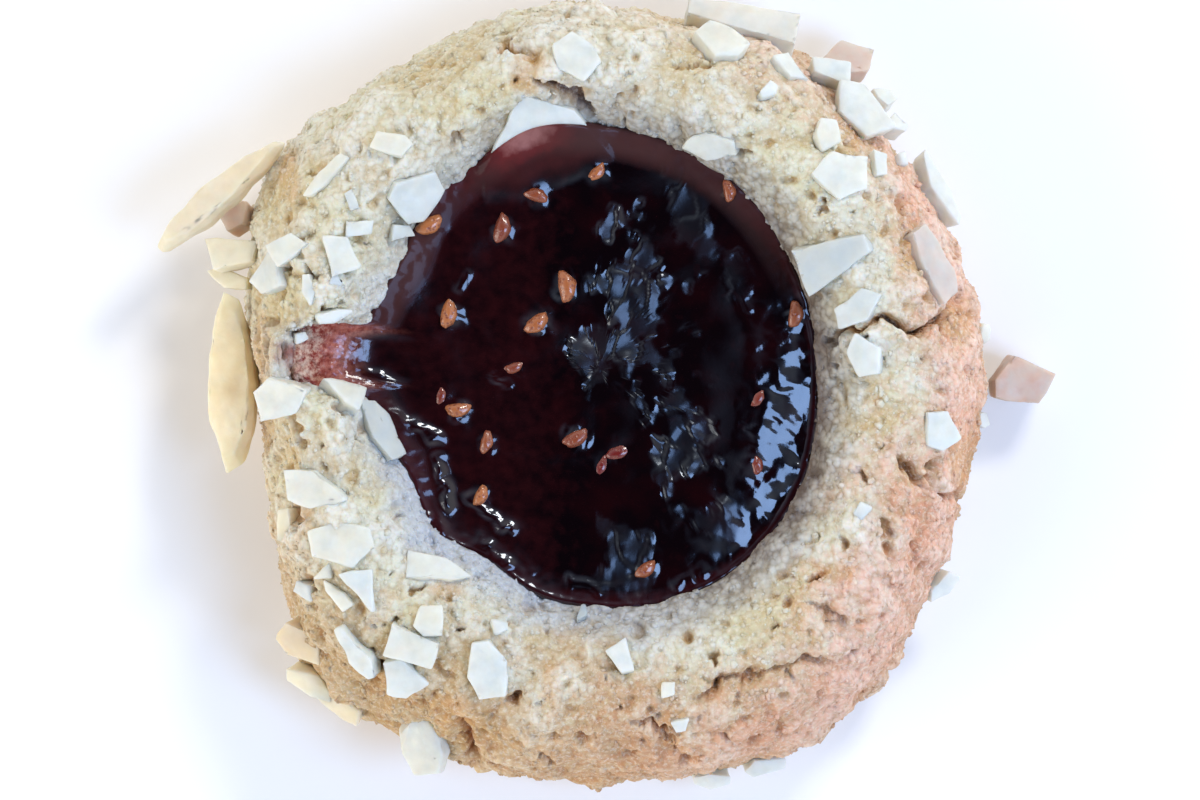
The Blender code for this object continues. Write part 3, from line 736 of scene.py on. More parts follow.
def make_crumbs(mesh):
    points, faces = ball()
    places, normals = scatter(mesh, CRUMBS, crumb_dice)
    low, high = CRUMB_SIZES
    sizes = (low + (high - low) * crumb_dice.random((CRUMBS, 1, 1)) ** 2.5) * MM
    stretch = crumb_dice.uniform(0.7, 1.3, (CRUMBS, 1, 3))
    knobs = crumb_dice.uniform(0.7, 1.2, (CRUMBS, len(points), 1))
    sunk = crumb_dice.uniform(-0.75, -0.1, (CRUMBS, 1, 1))
    solid = places[:, None] + normals[:, None] * sizes * sunk + points[None] * knobs * stretch * sizes
    joined = faces[None] + np.arange(CRUMBS)[:, None, None] * len(points)
    made = bpy.data.meshes.new("cookie_crumbs")
    made.from_pydata(solid.reshape(-1, 3).tolist(), [], joined.reshape(-1, 3).tolist())
    return made


crumb_mesh = make_crumbs(dough_piece.data)
crumbs = bmesh.new()
crumbs.from_mesh(crumb_mesh)
# The loose grains are coloured as fairly high dough, so they get a little of the painted light.
new_piece(
    "cookie_crumbs", crumbs, baked,
    {"high": lambda v: 0.7, **by_place},
)

# %% [markdown]
# ## The almonds
#
# The almonds are blanched and chopped, so each piece has flat cut faces, crisp edges and a waxy
# white or cream colour. The large pieces are solids of their own. A copy of each solid is
# merged, its edges are rounded by a bevel, and it is divided and given a very slight waviness.
# The small ones are baked into the dough's solid, so they are made here by the rule that made
# them there: the hull of an uneven outline and a smaller one above it.

# %% Sizes of the small almonds
# Each: x and y in mm, its length and width in mm, the bearing of its long side in degrees, how
# much it narrows towards its far end, its corners, and the cut, which picks one of the uneven
# outlines that a piece of its kind can have. The first number names it.
CHIP_THICKNESS = 2.0 * MM
SMALL_CHIP_THICKNESS, THICKER_PER_WIDTH = 0.5 * MM, 0.75
CHIP_SUNK = 0.56
CHIPS = (
    (1, -25.9, 9.2, 3.3, 3.0, -70, 0, 5, 4),
    (2, -24.2, 10.9, 3.7, 2.3, 15, 0.3, 4, 6),
    (3, -20.6, 10.6, 3.3, 2.5, 100, 0.1, 4, 7),
    (4, -19.3, 12.7, 2.5, 1.5, 10, 0.1, 4, 4),
    (5, -20.9, 8.6, 1.9, 1.3, 140, 0, 3, 0),
    (7, -19.8, 14.5, 1.9, 1.0, -65, 0, 4, 0),
    (8, -16.8, 18.7, 3.4, 1.9, 175, 0, 5, 0),
    (9, -15.2, 15.3, 4.3, 3.9, 40, 0, 6, 3),
    (10, -16.2, 12.4, 2.1, 1.3, 0, 0.2, 4, 4),
    (11, -21.1, 6.1, 2.9, 1.0, 8, 0, 6, 0),
    (12, -22.9, 8.0, 2.4, 1.1, 100, 0, 5, 1),
    (13, -25.0, 0.1, 4.5, 3.3, 202, -0.1, 5, 4),
    (14, -20.7, 0.1, 3.6, 2.1, -15, -0.3, 5, 0),
    (18, -18.7, -13.9, 3.9, 2.5, 127, 0, 3, 2),
    (19, -20.8, -14.6, 3.1, 1.1, -45, 0, 5, 0),
    (20, -21.8, -13.1, 1.6, 1.1, 20, 0, 3, 0),
    (21, -23.2, -14.3, 1.9, 1.1, -10, 0, 4, 0),
    (23, -13.9, -16.7, 2.9, 2.5, 75, 0, 5, 6),
    (24, -15.2, -18.4, 4.2, 2.7, -15, 0.3, 4, 3),
    (25, -16.1, -20.8, 3.8, 3.1, -40, 0, 5, 4),
    (27, -8.8, -17.2, 1.3, 1.1, 0, 0, 4, 1),
    (29, 0.4, -19.5, 2.7, 2.0, -60, 0.3, 4, 2),
    (30, -2.7, -16.3, 1.6, 0.9, 80, 0, 5, 1),
    (31, 23.8, -2.5, 3.3, 2.9, 100, 0, 5, 0),
    (32, 7.5, 26.1, 4.0, 3.6, -40, 0, 6, 2),
    (33, 12.8, 24.1, 3.0, 1.8, -60, 0.1, 4, 6),
    (34, 15.4, 19.3, 2.6, 1.9, 80, 0.1, 5, 3),
    (35, 16.3, 16.3, 3.8, 4.6, 90, 0, 5, 4),
    (36, 19.3, 17.2, 2.3, 1.3, 80, 0.2, 4, 0),
    (37, 7.0, 18.9, 4.5, 2.6, -5, 0, 6, 7),
    (38, 11.1, 22.6, 1.6, 1.1, 60, 0, 5, 0),
    (40, 17.9, 6.6, 4.3, 2.3, 42, 0, 5, 2),
    (41, 18.4, 3.2, 3.4, 2.9, -80, 0.1, 5, 5),
    (43, -3.1, 25.1, 3.9, 3.3, -50, 0, 6, 0),
    (44, -24.5, -9.8, 3.3, 1.9, 95, 0.1, 4, 3),
    (45, 18.1, -8.5, 1.2, 1.0, 60, 0, 4, 0),
    (46, 3.7, -21.7, 1.4, 1.0, 80, 0, 4, 1),
    (47, 4.6, -24.3, 1.5, 1.0, 10, 0, 4, 2),
    (48, -23.7, 4.5, 1.1, 0.8, 20, 0, 4, 3),
    (49, 22.4, 17.8, 1.2, 0.9, 70, 0, 4, 4),
)
# At the side each has a name, its height and its thickness too, and after its bearing come the
# bearing to which it leans and how far it leans, both in degrees.
EDGE_CHIPS = (
    ("almond_wedge_left", -29.0, 8.8, 7.0, 3.8, 1.6, 1.8, -15, 170, 30, 0, 5, 0),
    ("almond_brown_left", -28.6, 13.5, 6.2, 2.7, 2.2, 1.8, 60, 150, 35, 0, 5, 0),
    ("almond_tan_lower_left", -23.4, -18.1, 8.4, 3.9, 2.9, 2.2, -5, 218, 38, 0, 5, 4),
    ("almond_cream_lower_left", -22.9, -21.2, 6.4, 4.2, 1.9, 1.8, -22, 222, 35, 0, 6, 5),
    ("almond_gold_lower_left", -20.8, -22.9, 6.4, 4.2, 1.9, 1.8, -30, 228, 35, 0, 6, 4),
    ("almond_brown_top", 17.1, 25.3, 4.6, 4.5, 3.1, 1.8, 0, 56, 35, 0, 5, 3),
    ("almond_chip_top_right", 15.8, 24.2, 9.2, 3.4, 2.2, 1.9, -10, 57, 32, -0.1, 4, 2),
    ("almond_bit_top_right", 19.8, 22.4, 6.4, 2.1, 1.5, 1.6, -40, 48, 40, 0, 5, 0),
    ("almond_bit_right", 20.6, 20.3, 7.2, 1.9, 1.6, 1.8, -20, 44, 40, 0, 5, 0),
    ("almond_wedge_lower_right", 24.0, -14.2, 6.2, 3.0, 1.8, 1.7, 55, 330, 42, 0, 5, 1),
    ("almond_wedge_bottom", 10.9, -27.5, 4.8, 3.3, 1.6, 1.7, 5, 292, 35, 0, 5, 3),
    ("almond_bits_bottom", 7.0, -28.6, 4.2, 3.1, 1.5, 1.5, -8, 284, 35, 0, 6, 0),
    ("almond_speck_right", 27.2, 4.6, 4.8, 1.8, 1.1, 1.4, 85, 5, 45, 0, 5, 0),
    ("almond_speck_lower_right", 27.3, -1.7, 4.0, 1.5, 1.2, 1.5, -40, 355, 40, 0, 5, 0),
)
print("small almonds:", len(CHIPS) + len(EDGE_CHIPS))

# %% [markdown]
# A chip on top is seated by a ray from above, on the form as it was before it was roughened, and
# lies flatter than the dough round it. A chip at the side has its own height and lean.


# %% Shaping an almond
def outline(narrowing, corners, rng):
    """An uneven polygon, one wide and one long, as x and y of each corner."""
    points = []
    for corner in range(corners):
        angle = (corner + 0.5 + rng.uniform(-0.3, 0.3)) / corners * math.tau
        reach = rng.uniform(1 - 0.9 / corners, 1 + 0.3 / corners)
        x, y = reach * math.cos(angle), reach * math.sin(angle)
        points.append((x, y * (1 - narrowing * x)))
    low_x, high_x = min(x for x, _ in points), max(x for x, _ in points)
    low_y, high_y = min(y for _, y in points), max(y for _, y in points)
    middle_x, middle_y = (low_x + high_x) / 2, (low_y + high_y) / 2
    return [((x - middle_x) / (high_x - low_x), (y - middle_y) / (high_y - low_y)) for x, y in points]


def nut_shape(name, size, matrix, narrowing, corners, cut):
    """A chopped piece of almond, as the hull of its outline at two levels, or at three for a piece
    with many corners, which is rounder."""
    rng = random.Random(f"{name} {cut}")
    shape = bmesh.new()
    points = outline(narrowing, corners, rng)
    levels = ((-0.5, 0.92), (0.5, 0.97)) if corners < 7 else ((-0.5, 0.9), (0.1, 1.0), (0.5, 0.86))
    for level, spread in levels:
        for x, y in points:
            up = level + rng.uniform(-0.09, 0.09)
            reach = spread * rng.uniform(0.95, 1.03)
            shape.verts.new((x * reach * size.x, y * reach * size.y, up * size.z))
    made = bmesh.ops.convex_hull(shape, input=list(shape.verts))
    spare = {v for v in made["geom_interior"] + made["geom_unused"] if isinstance(v, bmesh.types.BMVert)}
    bmesh.ops.delete(shape, geom=list(spare), context="VERTS")
    bmesh.ops.transform(shape, matrix=matrix, verts=shape.verts)
    bmesh.ops.recalc_face_normals(shape, faces=shape.faces)
    return shape


def facing(normal, bearing, place):
    """A matrix that puts a flat piece at a place, its face along normal and its length along a
    bearing, as seen from above."""
    lengthways = along(bearing)
    lengthways = (lengthways - normal * lengthways.dot(normal)).normalized()
    turned = Matrix((lengthways, normal.cross(lengthways), normal)).transposed()
    return Matrix.Translation(place) @ turned.to_4x4()


RAY_START = 50  # mm, above everything


def seat(x, y):
    """Where the plain form is under a point and which way it faces, turned up a little."""
    reach = 1.3 * MM
    hits = []
    for dx, dy in ((0, 0), (reach, 0), (-reach, 0), (0, reach), (0, -reach)):
        place, normal, _, _ = plain_form.ray_cast(Vector((x + dx, y + dy, RAY_START * MM)), DOWN)
        if place and normal.z > 0.05:
            hits.append((place, normal))
    facing_up = sum((normal for _, normal in hits), UP * 0.5 * len(hits)).normalized()
    return hits[0][0], facing_up


def chip_thickness(width):
    return min(CHIP_THICKNESS, SMALL_CHIP_THICKNESS + THICKER_PER_WIDTH * width)


def small_almonds():
    """(name, bmesh) of each almond that is baked into the dough."""
    for number, x, y, length, width, bearing, *form in CHIPS:
        place, normal = seat(x * MM, y * MM)
        size = Vector((length * MM, width * MM, chip_thickness(width * MM)))
        matrix = facing(normal, math.radians(bearing), place + normal * size.z * (0.5 - CHIP_SUNK))
        name = f"almond_chip_{number:02}"
        yield name, nut_shape(name, size, matrix, *form)
    for name, x, y, z, length, width, thickness, bearing, leans_to, lean, *form in EDGE_CHIPS:
        normal = UP.lerp(along(math.radians(leans_to)), lean / 90).normalized()
        matrix = facing(normal, math.radians(bearing), Vector((x, y, z)) * MM)
        size = Vector((length, width, thickness)) * MM
        yield name, nut_shape(name, size, matrix, *form)


print("a chip 2 mm wide is", round(chip_thickness(2 * MM) / MM, 2), "mm thick")

# %% [markdown]
# The bevel takes only the edges between faces that meet at a clear angle. The long edges are
# then halved again and again until the faces are a third of a millimetre across, small enough
# for the waviness of a cut nut.

# %% Finishing an almond
EDGE_ROUNDING = 0.1 * MM
ALMOND_FACE = 0.36 * MM
FLAT_ENOUGH, CLEARLY_BENT = math.radians(6), math.radians(16)


def finish_almond(shape):
    bmesh.ops.remove_doubles(shape, verts=shape.verts, dist=0.002 * MM)
    bmesh.ops.dissolve_limit(shape, angle_limit=FLAT_ENOUGH, verts=shape.verts, edges=shape.edges)
    sharp = [edge for edge in shape.edges if edge.calc_face_angle(0) > CLEARLY_BENT]
    bmesh.ops.bevel(
        shape, geom=sharp, offset=EDGE_ROUNDING, offset_type="OFFSET", segments=2,
        profile=0.5, affect="EDGES", clamp_overlap=True, material=-1,
    )
    bmesh.ops.remove_doubles(shape, verts=shape.verts, dist=0.02 * MM)
    bmesh.ops.dissolve_degenerate(shape, dist=0.01 * MM, edges=shape.edges)
    for _ in range(5):
        bmesh.ops.triangulate(shape, faces=shape.faces)
        long = [edge for edge in shape.edges if edge.calc_length() > ALMOND_FACE]
        if not long:
            break
        bmesh.ops.subdivide_edges(shape, edges=long, cuts=1)
    bmesh.ops.triangulate(shape, faces=shape.faces)
    bmesh.ops.recalc_face_normals(shape, faces=shape.faces)
    shape.normal_update()
    moves = {}
    for vert in shape.verts:
        wave = noise.noise(vert.co / (2.1 * MM)) * 0.22 + noise.noise(vert.co / (0.7 * MM)) * 0.05
        moves[vert] = vert.normal * wave * MM
    for vert, move in moves.items():
        vert.co += move
    shape.normal_update()
    return shape


# %% [markdown]
# Most pieces are white. The slivers at the left kept the yellow of the whole nut, a few pieces
# on the outside are toasted, and those beside the jam are painted greyer, as shade. Each almond
# carries three numbers for this: how yellow, how toasted and how shaded it is.

# %% Almond material
YELLOW = {"almond_sliver_left": 1.0, "almond_sliver_upper_left": 0.75, "almond_wedge_left": 0.8,
          "almond_block_left": 0.55, "almond_cream_lower_left": 0.7, "almond_gold_lower_left": 0.9,
          "almond_tan_lower_left": 0.9, "almond_chip_44": 0.7, "almond_chip_20": 0.3}
TOASTED = {"almond_brown_left": 0.75, "almond_brown_top": 0.7, "almond_chunk_right": 0.8,
           "almond_chip_42": 0.5, "almond_tan_lower_left": 0.35, "almond_gold_lower_left": 0.2,
           "almond_sliver_upper_left": 0.15, "almond_slab_top": 0.15}
# How much painted shade each almond gets, kept in the attribute wet.
ALMOND_SHADE = {"almond_chip_39": 0.4, "almond_chip_09": 0.2, "almond_chip_15": 0.5, "almond_chip_14": 0.1,
       "almond_chip_10": 0.2, "almond_chip_30": 0.9, "almond_chip_37": 0.15, "almond_chip_40": 0.15}

almond = Finish("chopped almond")
yellow = almond.spread(almond.ragged("yellow", 2 * MM, -0.12, 0.15), 0, 1)
toasted = almond.spread(almond.ragged("toasted", 1.4 * MM, -0.1, 0.1), 0, 1)
almond_shade_share = almond.spread(almond.ragged("wet", 1.6 * MM, -0.1, 0.06), 0, 1)
colour = almond.mix(yellow, "DCE0DA", "F4E6C2")
colour = almond.mix(toasted, colour, "C8A08A")
# Painted shade: some almonds are greyer and bluer.
colour = almond.mix(almond_shade_share, colour, "93A0A8")
clear = almond.spread(almond.noise(1.2 * MM, 4), 0.4, 0.72, 0, 0.45)
colour = almond.mix(clear, colour, almond.mix(yellow, "BEC6C2", "E6D09C"))
almond.set(
    Base_Color=colour,
    Roughness=almond.spread(almond.noise(0.8 * MM), 0.3, 0.7, 0.38, 0.55),
    Normal=almond.bump(almond.noise(0.5 * MM, 4), 0.05 * MM, 0.6),
    Subsurface_Weight=0.6,
    Subsurface_Radius=(1.0, 0.8, 0.6),
    Subsurface_Scale=1.6 * MM,
)
print("almond finish:", len(almond.nodes), "nodes")

# %% [markdown]
# The large pieces first: each takes the place of its solid. Then the small ones, all in one
# piece, which lie where the dough's own solid has them.


# %% Almonds
# The tint wet is painted shade.
TINTS = ("yellow", "toasted", "wet")


def tints(name):
    """How yellow and how toasted an almond is, and how much painted shade it has."""
    chance = random.Random(name + " tint").random()
    return YELLOW.get(name, 0.3 * chance), TOASTED.get(name, 0.0), ALMOND_SHADE.get(name, 0.0)


def tint_attributes(values_of):
    """Each tint as an attribute, where values_of(vert) gives all three."""
    return {tint: lambda v, place=place: values_of(v)[place] for place, tint in enumerate(TINTS)}


for name in sorted(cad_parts):
    if not name.startswith("almond"):
        continue
    shape = bmesh.new()
    shape.from_mesh(bpy.data.objects[name].data)
    finish_almond(shape)
    own_tints = tints(name)
    piece = new_piece(name + "_cut", shape, almond, tint_attributes(lambda v: own_tints))
    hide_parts(name)

together = bmesh.new()
small_tints = []
for name, shape in small_almonds():
    finish_almond(shape)
    small_tints += [tints(name)] * len(shape.verts)
    passing = bpy.data.meshes.new("passing")
    shape.to_mesh(passing)
    shape.free()
    together.from_mesh(passing)
    bpy.data.meshes.remove(passing)
together.verts.index_update()
new_piece(
    "almond_small_chips", together, almond, tint_attributes(lambda v: small_tints[v.index])
)

# %% [markdown]
# ## The jam
#
# The jam is nearly black where it is deep, and a clear red-brown where it thins to a film: at
# its edge, on the tongue that ran over the rim at the left, and over the almond at the top. At
# the left and the top it climbs the dough, at the right its edge is rounded, and it is drawn up a
# little round each seed. Cooked pulp makes a skin of fine wrinkles.

# %% Sizes of the jam
JAM_STEPS = 540
PULP_SIZE, PULP_HEIGHT = 4.2 * MM, 0.3 * MM
# Each seed: x and y in mm, its length in mm, its bearing in degrees, how proud it stands in mm,
# and how red it is, from tan at 0 to deep red at 1.
SEEDS = (
    (-14.0, 12.8, 2.2, 30, 0.55, 0.1), (-8.6, 12.6, 2.2, 78, 0.4, 0.8), (-6.1, 15.1, 1.8, 165, 0.35, 0.7),
    (-1.5, 16.8, 1.6, 50, 0.3, 0.3), (8.3, 15.4, 1.7, 100, 0.4, 0.6), (-3.8, 8.3, 2.4, 100, 0.5, 0.35),
    (-12.6, 6.2, 2.2, 80, 0.5, 0.2), (-6.0, 5.5, 2.1, 40, 0.5, 0.35), (13.3, 6.2, 2.0, 85, 0.4, 0.6),
    (-7.7, 2.2, 1.6, 20, 0.15, 0.8), (-13.2, 0.1, 1.8, 80, 0.1, 0.9), (-11.9, -1.0, 2.0, 5, 0.35, 0.3),
    (-9.8, -3.4, 1.9, 75, 0.25, 0.6), (-3.1, -3.1, 2.1, 30, 0.45, 0.75), (0.1, -4.2, 2.2, 20, 0.15, 1.0),
    (-1.2, -5.2, 2.0, 60, 0.12, 1.0), (-10.2, -7.4, 1.7, 65, 0.4, 0.15), (2.1, -12.9, 1.8, 35, 0.4, 0.6),
    (10.5, -0.1, 1.8, 60, 0.12, 0.9), (10.3, -4.9, 1.8, 110, 0.12, 0.9),
)
# Each wrinkled patch of skin: its middle, half its width and half its height in mm, and how much
# it slopes to the right.
SKINS = (
    (1.6, 6.8, 2.8, 6.6, 0.17), (5.2, 14.2, 2.3, 3.8, 0.15), (4.8, -3.4, 2.6, 4.0, 0.17),
    (0.9, -11.6, 1.9, 3.6, 0.16), (12.0, -4.0, 3.4, 6.4, 0.03), (12.8, 5.2, 1.2, 2.2, 0.03),
    (-2.0, 3.4, 1.7, 2.8, 0.15), (9.3, 9.0, 1.3, 2.2, 0.13), (7.6, -9.6, 1.9, 2.4, 0.13),
)
# Small wet ridges that catch the lamps: from x and y to x and y, and the height, in mm.
RIDGES = (
    (-13.5, -4.8, -12.6, -8.1, 0.34), (-11.2, -7.5, -8.0, -10.0, 0.24), (-10.3, -10.9, -8.2, -12.3, 0.22),
    (-15.1, -1.9, -13.5, -3.2, 0.22), (-17.3, -0.9, -15.7, -2.1, 0.2), (-13.8, -9.0, -13.2, -9.8, 0.16),
    (-9.0, 1.5, -8.4, 1.0, 0.12), (-3.5, -13.8, -1.0, -14.4, 0.14), (4.5, -14.0, 6.5, -13.0, 0.14),
    (-18.6, 2.0, -17.0, 1.2, 0.18), (-12.0, 8.2, -11.6, 8.9, 0.14),
)
RIDGE_WIDTH = 0.38
# Every 30 degrees: how wide the see-through edge is, how far the jam reaches over the dough, both
# in mm, and how much the jam climbs the dough.
SHEER_WIDTHS = (0.5, 0.9, 2.4, 3.0, 3.6, 3.4, 2.6, 2.4, 1.1, 1.3, 0.9, 0.6)
HEM_WIDTHS = (0.6, 0.6, 0.55, 0.5, 0.5, 0.65, 0.8, 0.6, 0.6, 0.6, 0.6, 0.6)
CLIMBS = (0.0, 0.3, 0.8, 0.9, 0.4, 1.0, 0.4, 0.2, 0.1, 0.1, 0.0, 0.0)
FILM, FILM_BLEND = 0.15 * MM, 0.7 * MM
ROUNDED_BEARING = math.radians(-23)  # where the rounded edge is roundest
FLAKE_BEARING, FLAKE_HALF_ANGLE = 105, 55  # degrees, where the jam may reach the almond at the top
FAR_BELOW = -1.0  # m, where there is no almond for a film to lie on
print("seeds, skins and ridges:", len(SEEDS), len(SKINS), len(RIDGES))

# %% [markdown]
# The skin is made of Voronoi cells, each a small plane with its own tilt. The wet ridges are soft
# bumps along short lines, and the jam rises round the seeds in the same way.


# %% Skin and ridges of the jam
def skin(place):
    """How wrinkled the jam's skin is at a place, from 0 to 1, and its slope to the right."""
    ragged = noise.noise(place / (2.4 * MM)) * 0.9 + noise.noise(place / (0.8 * MM)) * 0.6
    share, slope = 0.0, 0.0
    for x, y, half_width, half_height, lean in SKINS:
        off = math.hypot((place.x / MM - x) / half_width, (place.y / MM - y) / half_height)
        here = eased((1.1 - off + ragged) * 2.6)
        if here > share:
            share, slope = here, lean
    return share, slope


def facets(place, slope):
    """Skin like creased foil: small plane pieces, each with its own tilt, most of them down to
    the right."""
    warped = place + noise.noise_vector(place / (1.3 * MM)) * 0.6 * MM
    grid = Vector((warped.x / 1.2, warped.y / 1.9, 0)) / MM
    centre = noise.voronoi(grid)[1][0]
    tilt = noise.cell_vector(centre * 7.3) * 2 - Vector((1, 1, 1))
    off = grid - centre
    unruly = 0.06 + 0.85 * slope
    return -(off.x * 1.2 * (slope + unruly * tilt.x) + off.y * 1.9 * 0.7 * unruly * tilt.y) * MM


def ridges(place):
    """How high the small wet ridges and the jam drawn up round the seeds are at a place."""
    wander = noise.noise_vector(place / (0.9 * MM)) * 0.5
    flat = Vector((place.x, place.y)) / MM + wander.xy
    height = 0.0
    for x1, y1, x2, y2, high in RIDGES:
        off = off_line(flat, Vector((x1, y1)), Vector((x2, y2))) / RIDGE_WIDTH
        height = max(height, high * math.exp(-off * off))
    for x, y, length, _, proud, _ in SEEDS:
        off = (flat - Vector((x, y))).length / (0.36 * length)
        height = max(height, 0.58 * proud * math.exp(-off * off))
    return height * (1 + 0.6 * noise.noise(place / (0.5 * MM))) * MM


# %% [markdown]
# The jam is spun through rings as the dough was. Three rings past the edge of the well make a thin
# hem on the dough, and everything that shapes the jam's top is added to its height.


# %% Form of the jam
def soaking(share, bearing):
    """1 on the end of the tongue, where the jam has soaked into the dough."""
    return tongue(bearing) * eased((share - 0.76) / 0.24)


def jam_surface(place, share, bearing):
    """How far the jam stands above its plain form: pulp, skin, the edge that climbs the dough at
    the left and rounds off at the right, and the crumbs that show through the film on the rim."""
    inside = 1 - share**8
    pulp = PULP_HEIGHT * noise.noise(place / PULP_SIZE) * (1 - share**6)
    wrinkled, slope = skin(place)
    to_right = max(math.cos(bearing - ROUNDED_BEARING), 0)
    hump = 0.5 * eased((share - 0.45) / 0.3) - eased((share - 0.74) / 0.3) - 0.4 * share**7
    creased = noise.noise(place / (1.7 * MM)) * 0.2 + noise.noise(place / (0.6 * MM)) * 0.04
    rounded = (hump + creased * eased((share - 0.62) / 0.15)) * to_right**2 * MM
    grainy = noise.noise(place / (0.5 * MM)) * 0.07 * MM * eased((share - 0.88) / 0.1)
    wavering = 0.5 + noise.noise(place / (1.9 * MM)) * 0.9
    climb = 0.17 * MM * around(CLIMBS, bearing) * eased((share - 0.84 - 0.06 * wavering) / 0.1) * wavering
    ripples = noise.noise(place / (1.7 * MM)) * 0.035 * MM + ridges(place) + grainy
    soaked = crumb(place) * 0.9 * soaking(share, bearing)
    return pulp + wrinkled * facets(place, slope) * inside + rounded + climb + ripples + soaked


def jam_point(ring, bearing):
    face, share = ring
    place = JAM_CENTRE + along(bearing) * jam_radius(bearing) * min(share, 1)
    height = jam_top(min(share, 1), bearing)
    if face == "below":
        height -= jam_thickness(share)
    if share > 1:
        before, after = (along(bearing + step) * jam_radius(bearing + step) for step in (-0.01, 0.01))
        outwards = Vector(((after - before).y, (before - after).x, 0)).normalized()
        reach = (share - 1) / 0.05
        place += outwards * around(HEM_WIDTHS, bearing) * MM * reach
        height += (0.5 * reach - 0.75 * reach**2) * MM
    return Vector((place.x, place.y, height))


def sheerness(share, bearing):
    """0 where the jam is deep to 1 where it is a film."""
    inside = jam_radius(bearing) * (1 - min(share, 1)) / MM
    width = around(SHEER_WIDTHS, bearing)
    edge = eased(1 - inside / width) * (0.12 + 0.12 * width)
    film = eased(1 - abs(math.degrees(bearing) - 107) / 26) * eased(1.1 - inside / 3.2)
    return max(min(edge, 0.6), film)


# %% [markdown]
# Over the almond at the top the jam is a film. Rays shot down at a vertex and round it find how
# high the almond is there. The film lies on that, and joins the rest of the jam smoothly.

# %% The film and the jam
FLAKE_REACHES = (0.4, 0.8, 1.2, 1.6, 2.0)
AROUND_FLAKE = [along(math.tau * turn / 8) * reach * MM for turn in range(8) for reach in FLAKE_REACHES]


def over_flake(place):
    """How high a film has to be at a place to lie over the almond and slope down round it."""
    height = place.z - 1 * MM
    for off in [Vector((0, 0, 0))] + AROUND_FLAKE:
        hit = flake_form.ray_cast(place + off + Vector((0, 0, 5 * MM)), DOWN)[0]
        if hit:
            height = max(height, hit.z - 0.6 * off.length)
    return height


jam_rings = [("below", share) for share in (0.0, 0.3, 0.6, 0.85, 0.96, 1.0)]
jam_rings += [("top", share) for share in (1.05, 1.03, 1.015)]
jam_rings += [("top", 1 - step / 70) for step in range(71)]
jam, jam_places = spun(jam_rings, jam_point, JAM_STEPS)
flake = bmesh.new()
flake.from_mesh(bpy.data.objects["almond_flake_top_cut"].data)
flake_form = BVHTree.FromBMesh(flake)
flake.free()
thin, matt, soaked, band, dull = {}, {}, {}, {}, {}
for vert, ((face, share), bearing) in jam_places.items():
    matt[vert] = skin(vert.co)[0] * (1 - 0.85 * eased((vert.co.x / MM - 8) / 2.5))
    thin[vert] = max(sheerness(share, bearing), 0.13 * eased((-vert.co.x / MM - 1) / 7))
    soaked[vert] = soaking(share, bearing)
    # Where the jam climbs the dough: partly the thin jam over the dough, partly a painted sheen.
    band[vert] = around(CLIMBS, bearing) * eased((share - 0.85) / 0.1)
    dull[vert] = max(eased(2.5 * band[vert]), thin[vert])
    if face == "top":
        vert.co.z += jam_surface(vert.co, min(share, 1), bearing)
        near_flake = share > 0.55 and abs(math.degrees(bearing) - FLAKE_BEARING) < FLAKE_HALF_ANGLE
        raised = over_flake(vert.co) + FILM - vert.co.z if near_flake else FAR_BELOW
        lift = max(raised, 0) + max(FILM_BLEND - abs(raised), 0) ** 2 / (4 * FILM_BLEND)
        vert.co.z += lift
        dull[vert] = max(dull[vert], eased(lift / (0.25 * MM)))
        thin[vert] = max(thin[vert], 0.4 * eased(lift / (0.6 * MM)))
        if raised > 0:
            vert.co.z -= 2.5 * FILM * eased((share - 1.01) / 0.04)
    matt[vert] = max(matt[vert], dull[vert])
jam_form = BVHTree.FromBMesh(jam)
print("jam:", len(jam.verts), "vertices")

# %% [markdown]
# ## The finish of the jam
#
# Deep jam lets almost no light back out, so an opaque, very dark red with a wet coat reads the
# same as a clear one and renders clean. The thin parts are lighter and browner, and where the jam
# climbs the dough a greyish brown is painted as a dull sheen.

# %% Jam material
wet = Finish("berry jam")
deep = wet.mix(wet.spread(wet.noise(3 * MM), 0.45, 0.75), "080204", "180305")
sheer = wet.ragged("thin", 0.9 * MM, -0.07, 0.06, 4)
colour = wet.mix(wet.spread(sheer, 0.03, 0.5), deep, "3C1214")
colour = wet.mix(wet.spread(sheer, 0.5, 0.8), colour, "661A1C")
colour = wet.mix(wet.spread(sheer, 0.8, 1.0), colour, "AE7470")
# Painted sheen, partly the colour of thin jam: greyish brown where the jam climbs the dough.
colour = wet.mix(wet.spread("band", 0.1, 1, 0, 0.75), colour, "48302E")
grain = wet.spread(wet.noise(0.5 * MM, 4, 0.7), 0.35, 0.62)
tip = wet.maths("ADD", "soaked", wet.spread(grain, 0, 1, 0, 0.35))
soaked_colour = wet.mix(grain, "7E2E26", "B86E5C")
soaked_colour = wet.mix(wet.spread(tip, 1.0, 1.45), soaked_colour, "DCC4AC")
colour = wet.mix(wet.spread("soaked", 0, 0.5), colour, soaked_colour)
crumb_domes = wet.maths("POWER", wet.cells(0.5 * MM), 2.0)
relief = wet.bump(wet.noise(0.5 * MM, 3), 0.03 * MM, 0.4)
relief = wet.bump(wet.maths("MULTIPLY", crumb_domes, "soaked"), -0.3 * MM, 1.0, relief)
wet.set(
    Base_Color=colour,
    Roughness=wet.spread("matt", 0, 1, 0.08, 0.3),
    Specular_IOR_Level=wet.spread("dull", 0, 1, 0.5, 0.08),
    Normal=relief,
    Coat_Weight=wet.spread("matt", 0, 0.7, 0.7, 0.1),
    Coat_Roughness=0.04,
    Specular_Tint=(0.66, 0.8, 1.0, 1.0),
)
jam_piece = new_piece(
    "berry_jam", jam, wet,
    {"thin": thin, "matt": matt, "soaked": soaked, "band": band, "dull": dull},
)
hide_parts("jam")

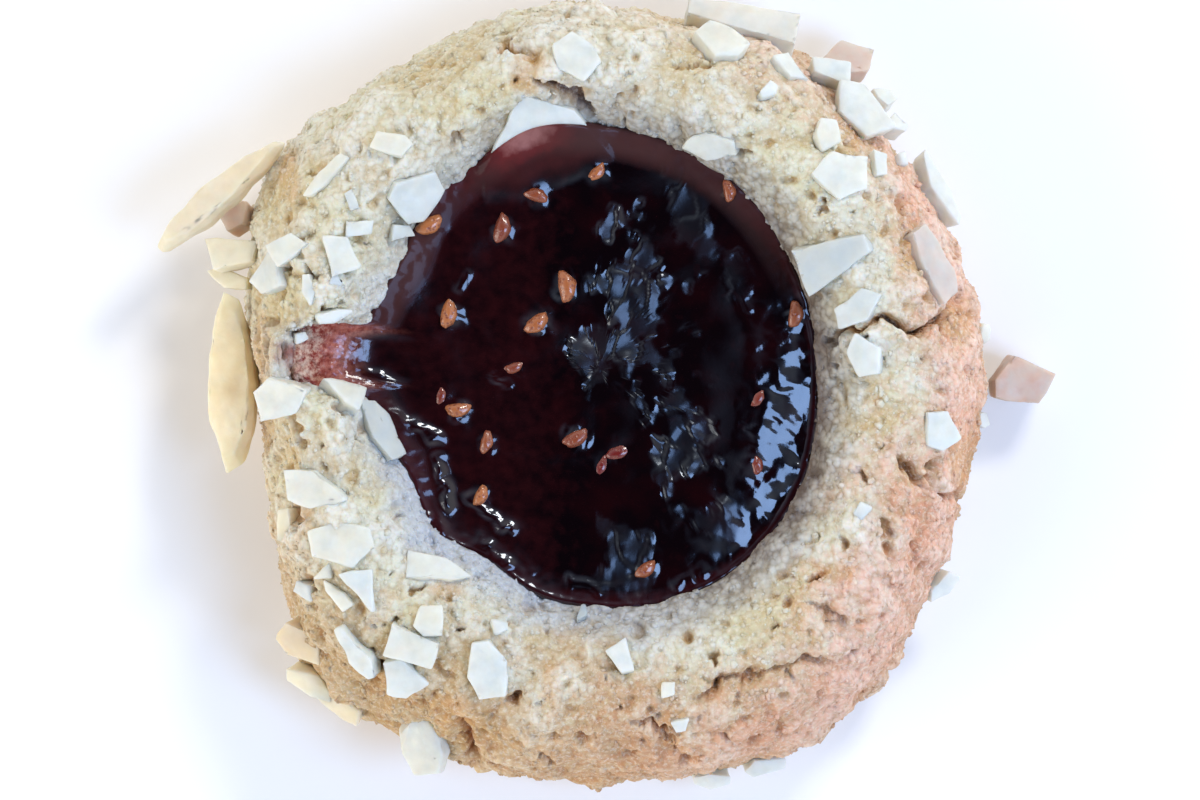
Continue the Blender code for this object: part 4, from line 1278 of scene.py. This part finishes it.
# %% [markdown]
# ## The seeds
#
# Berry seeds are little teardrops with a pitted shell. A sphere is drawn out to a point at one
# end, dimpled, and laid half sunk in the jam.

# %% Seeds
seed_finish = Finish("berry seed")
shell = seed_finish.mix("red", "BE7440", "6A160E")
pits = seed_finish.spread(seed_finish.cells(0.3 * MM), 0.1, 0.5)
shell = seed_finish.mix(pits, "7A3420", shell)
seed_finish.set(
    Base_Color=shell,
    Roughness=0.3,
    Normal=seed_finish.bump(pits, 0.05 * MM, 0.8),
    Coat_Weight=0.8,
    Coat_Roughness=0.08,
)

seeds = bmesh.new()
reds = {}
for x, y, length, bearing, proud, redness in SEEDS:
    hit = jam_form.ray_cast(Vector((x, y, RAY_START)) * MM, DOWN)[0]
    height = length * 0.45 * MM
    place = Vector((hit.x, hit.y, hit.z + proud * MM - height / 2))
    made = bmesh.ops.create_uvsphere(
        seeds, u_segments=20, v_segments=14, radius=1,
        matrix=Matrix.Rotation(math.pi / 2, 4, "Y"),
    )["verts"]
    for vert in made:
        narrowed = 1 - 0.16 * eased((vert.co.x + 0.1) / 1.1)
        vert.co.y = vert.co.y * narrowed + 0.34 * vert.co.x**2
        vert.co.z *= narrowed
        vert.co *= 1 + 0.16 * noise.noise(vert.co * 1.8 + Vector((x, y, 0)))
        reds[vert] = redness
    shape_size = Matrix.Diagonal((length / 2 * MM, length * 0.28 * MM, height / 2, 1))
    turn = Matrix.Rotation(math.radians(bearing), 4, "Z")
    bmesh.ops.transform(seeds, matrix=Matrix.Translation(place) @ turn @ shape_size, verts=made)
bmesh.ops.recalc_face_normals(seeds, faces=seeds.faces)
new_piece("berry_seeds", seeds, seed_finish, {"red": reds})
print("seeds:", len(SEEDS))

# %% [markdown]
# ## The table and the end
#
# A plain white table carries the cookie, and the last line prints its size.

# %% Table
TABLE_HALF_SIDE = 1.5
table_finish = Finish("white table")
table_finish.set(Base_Color=(0.97, 0.97, 0.97, 1.0), Roughness=0.7)
table_shape = bmesh.new()
bmesh.ops.create_grid(table_shape, x_segments=1, y_segments=1, size=TABLE_HALF_SIDE)
table_mesh = bpy.data.meshes.new("table")
table_shape.to_mesh(table_mesh)
table_shape.free()
table_mesh.materials.append(table_finish.material)
table = bpy.data.objects.new("table", table_mesh)
bpy.context.scene.collection.objects.link(table)
print("table, m:", 2 * TABLE_HALF_SIDE, "square")
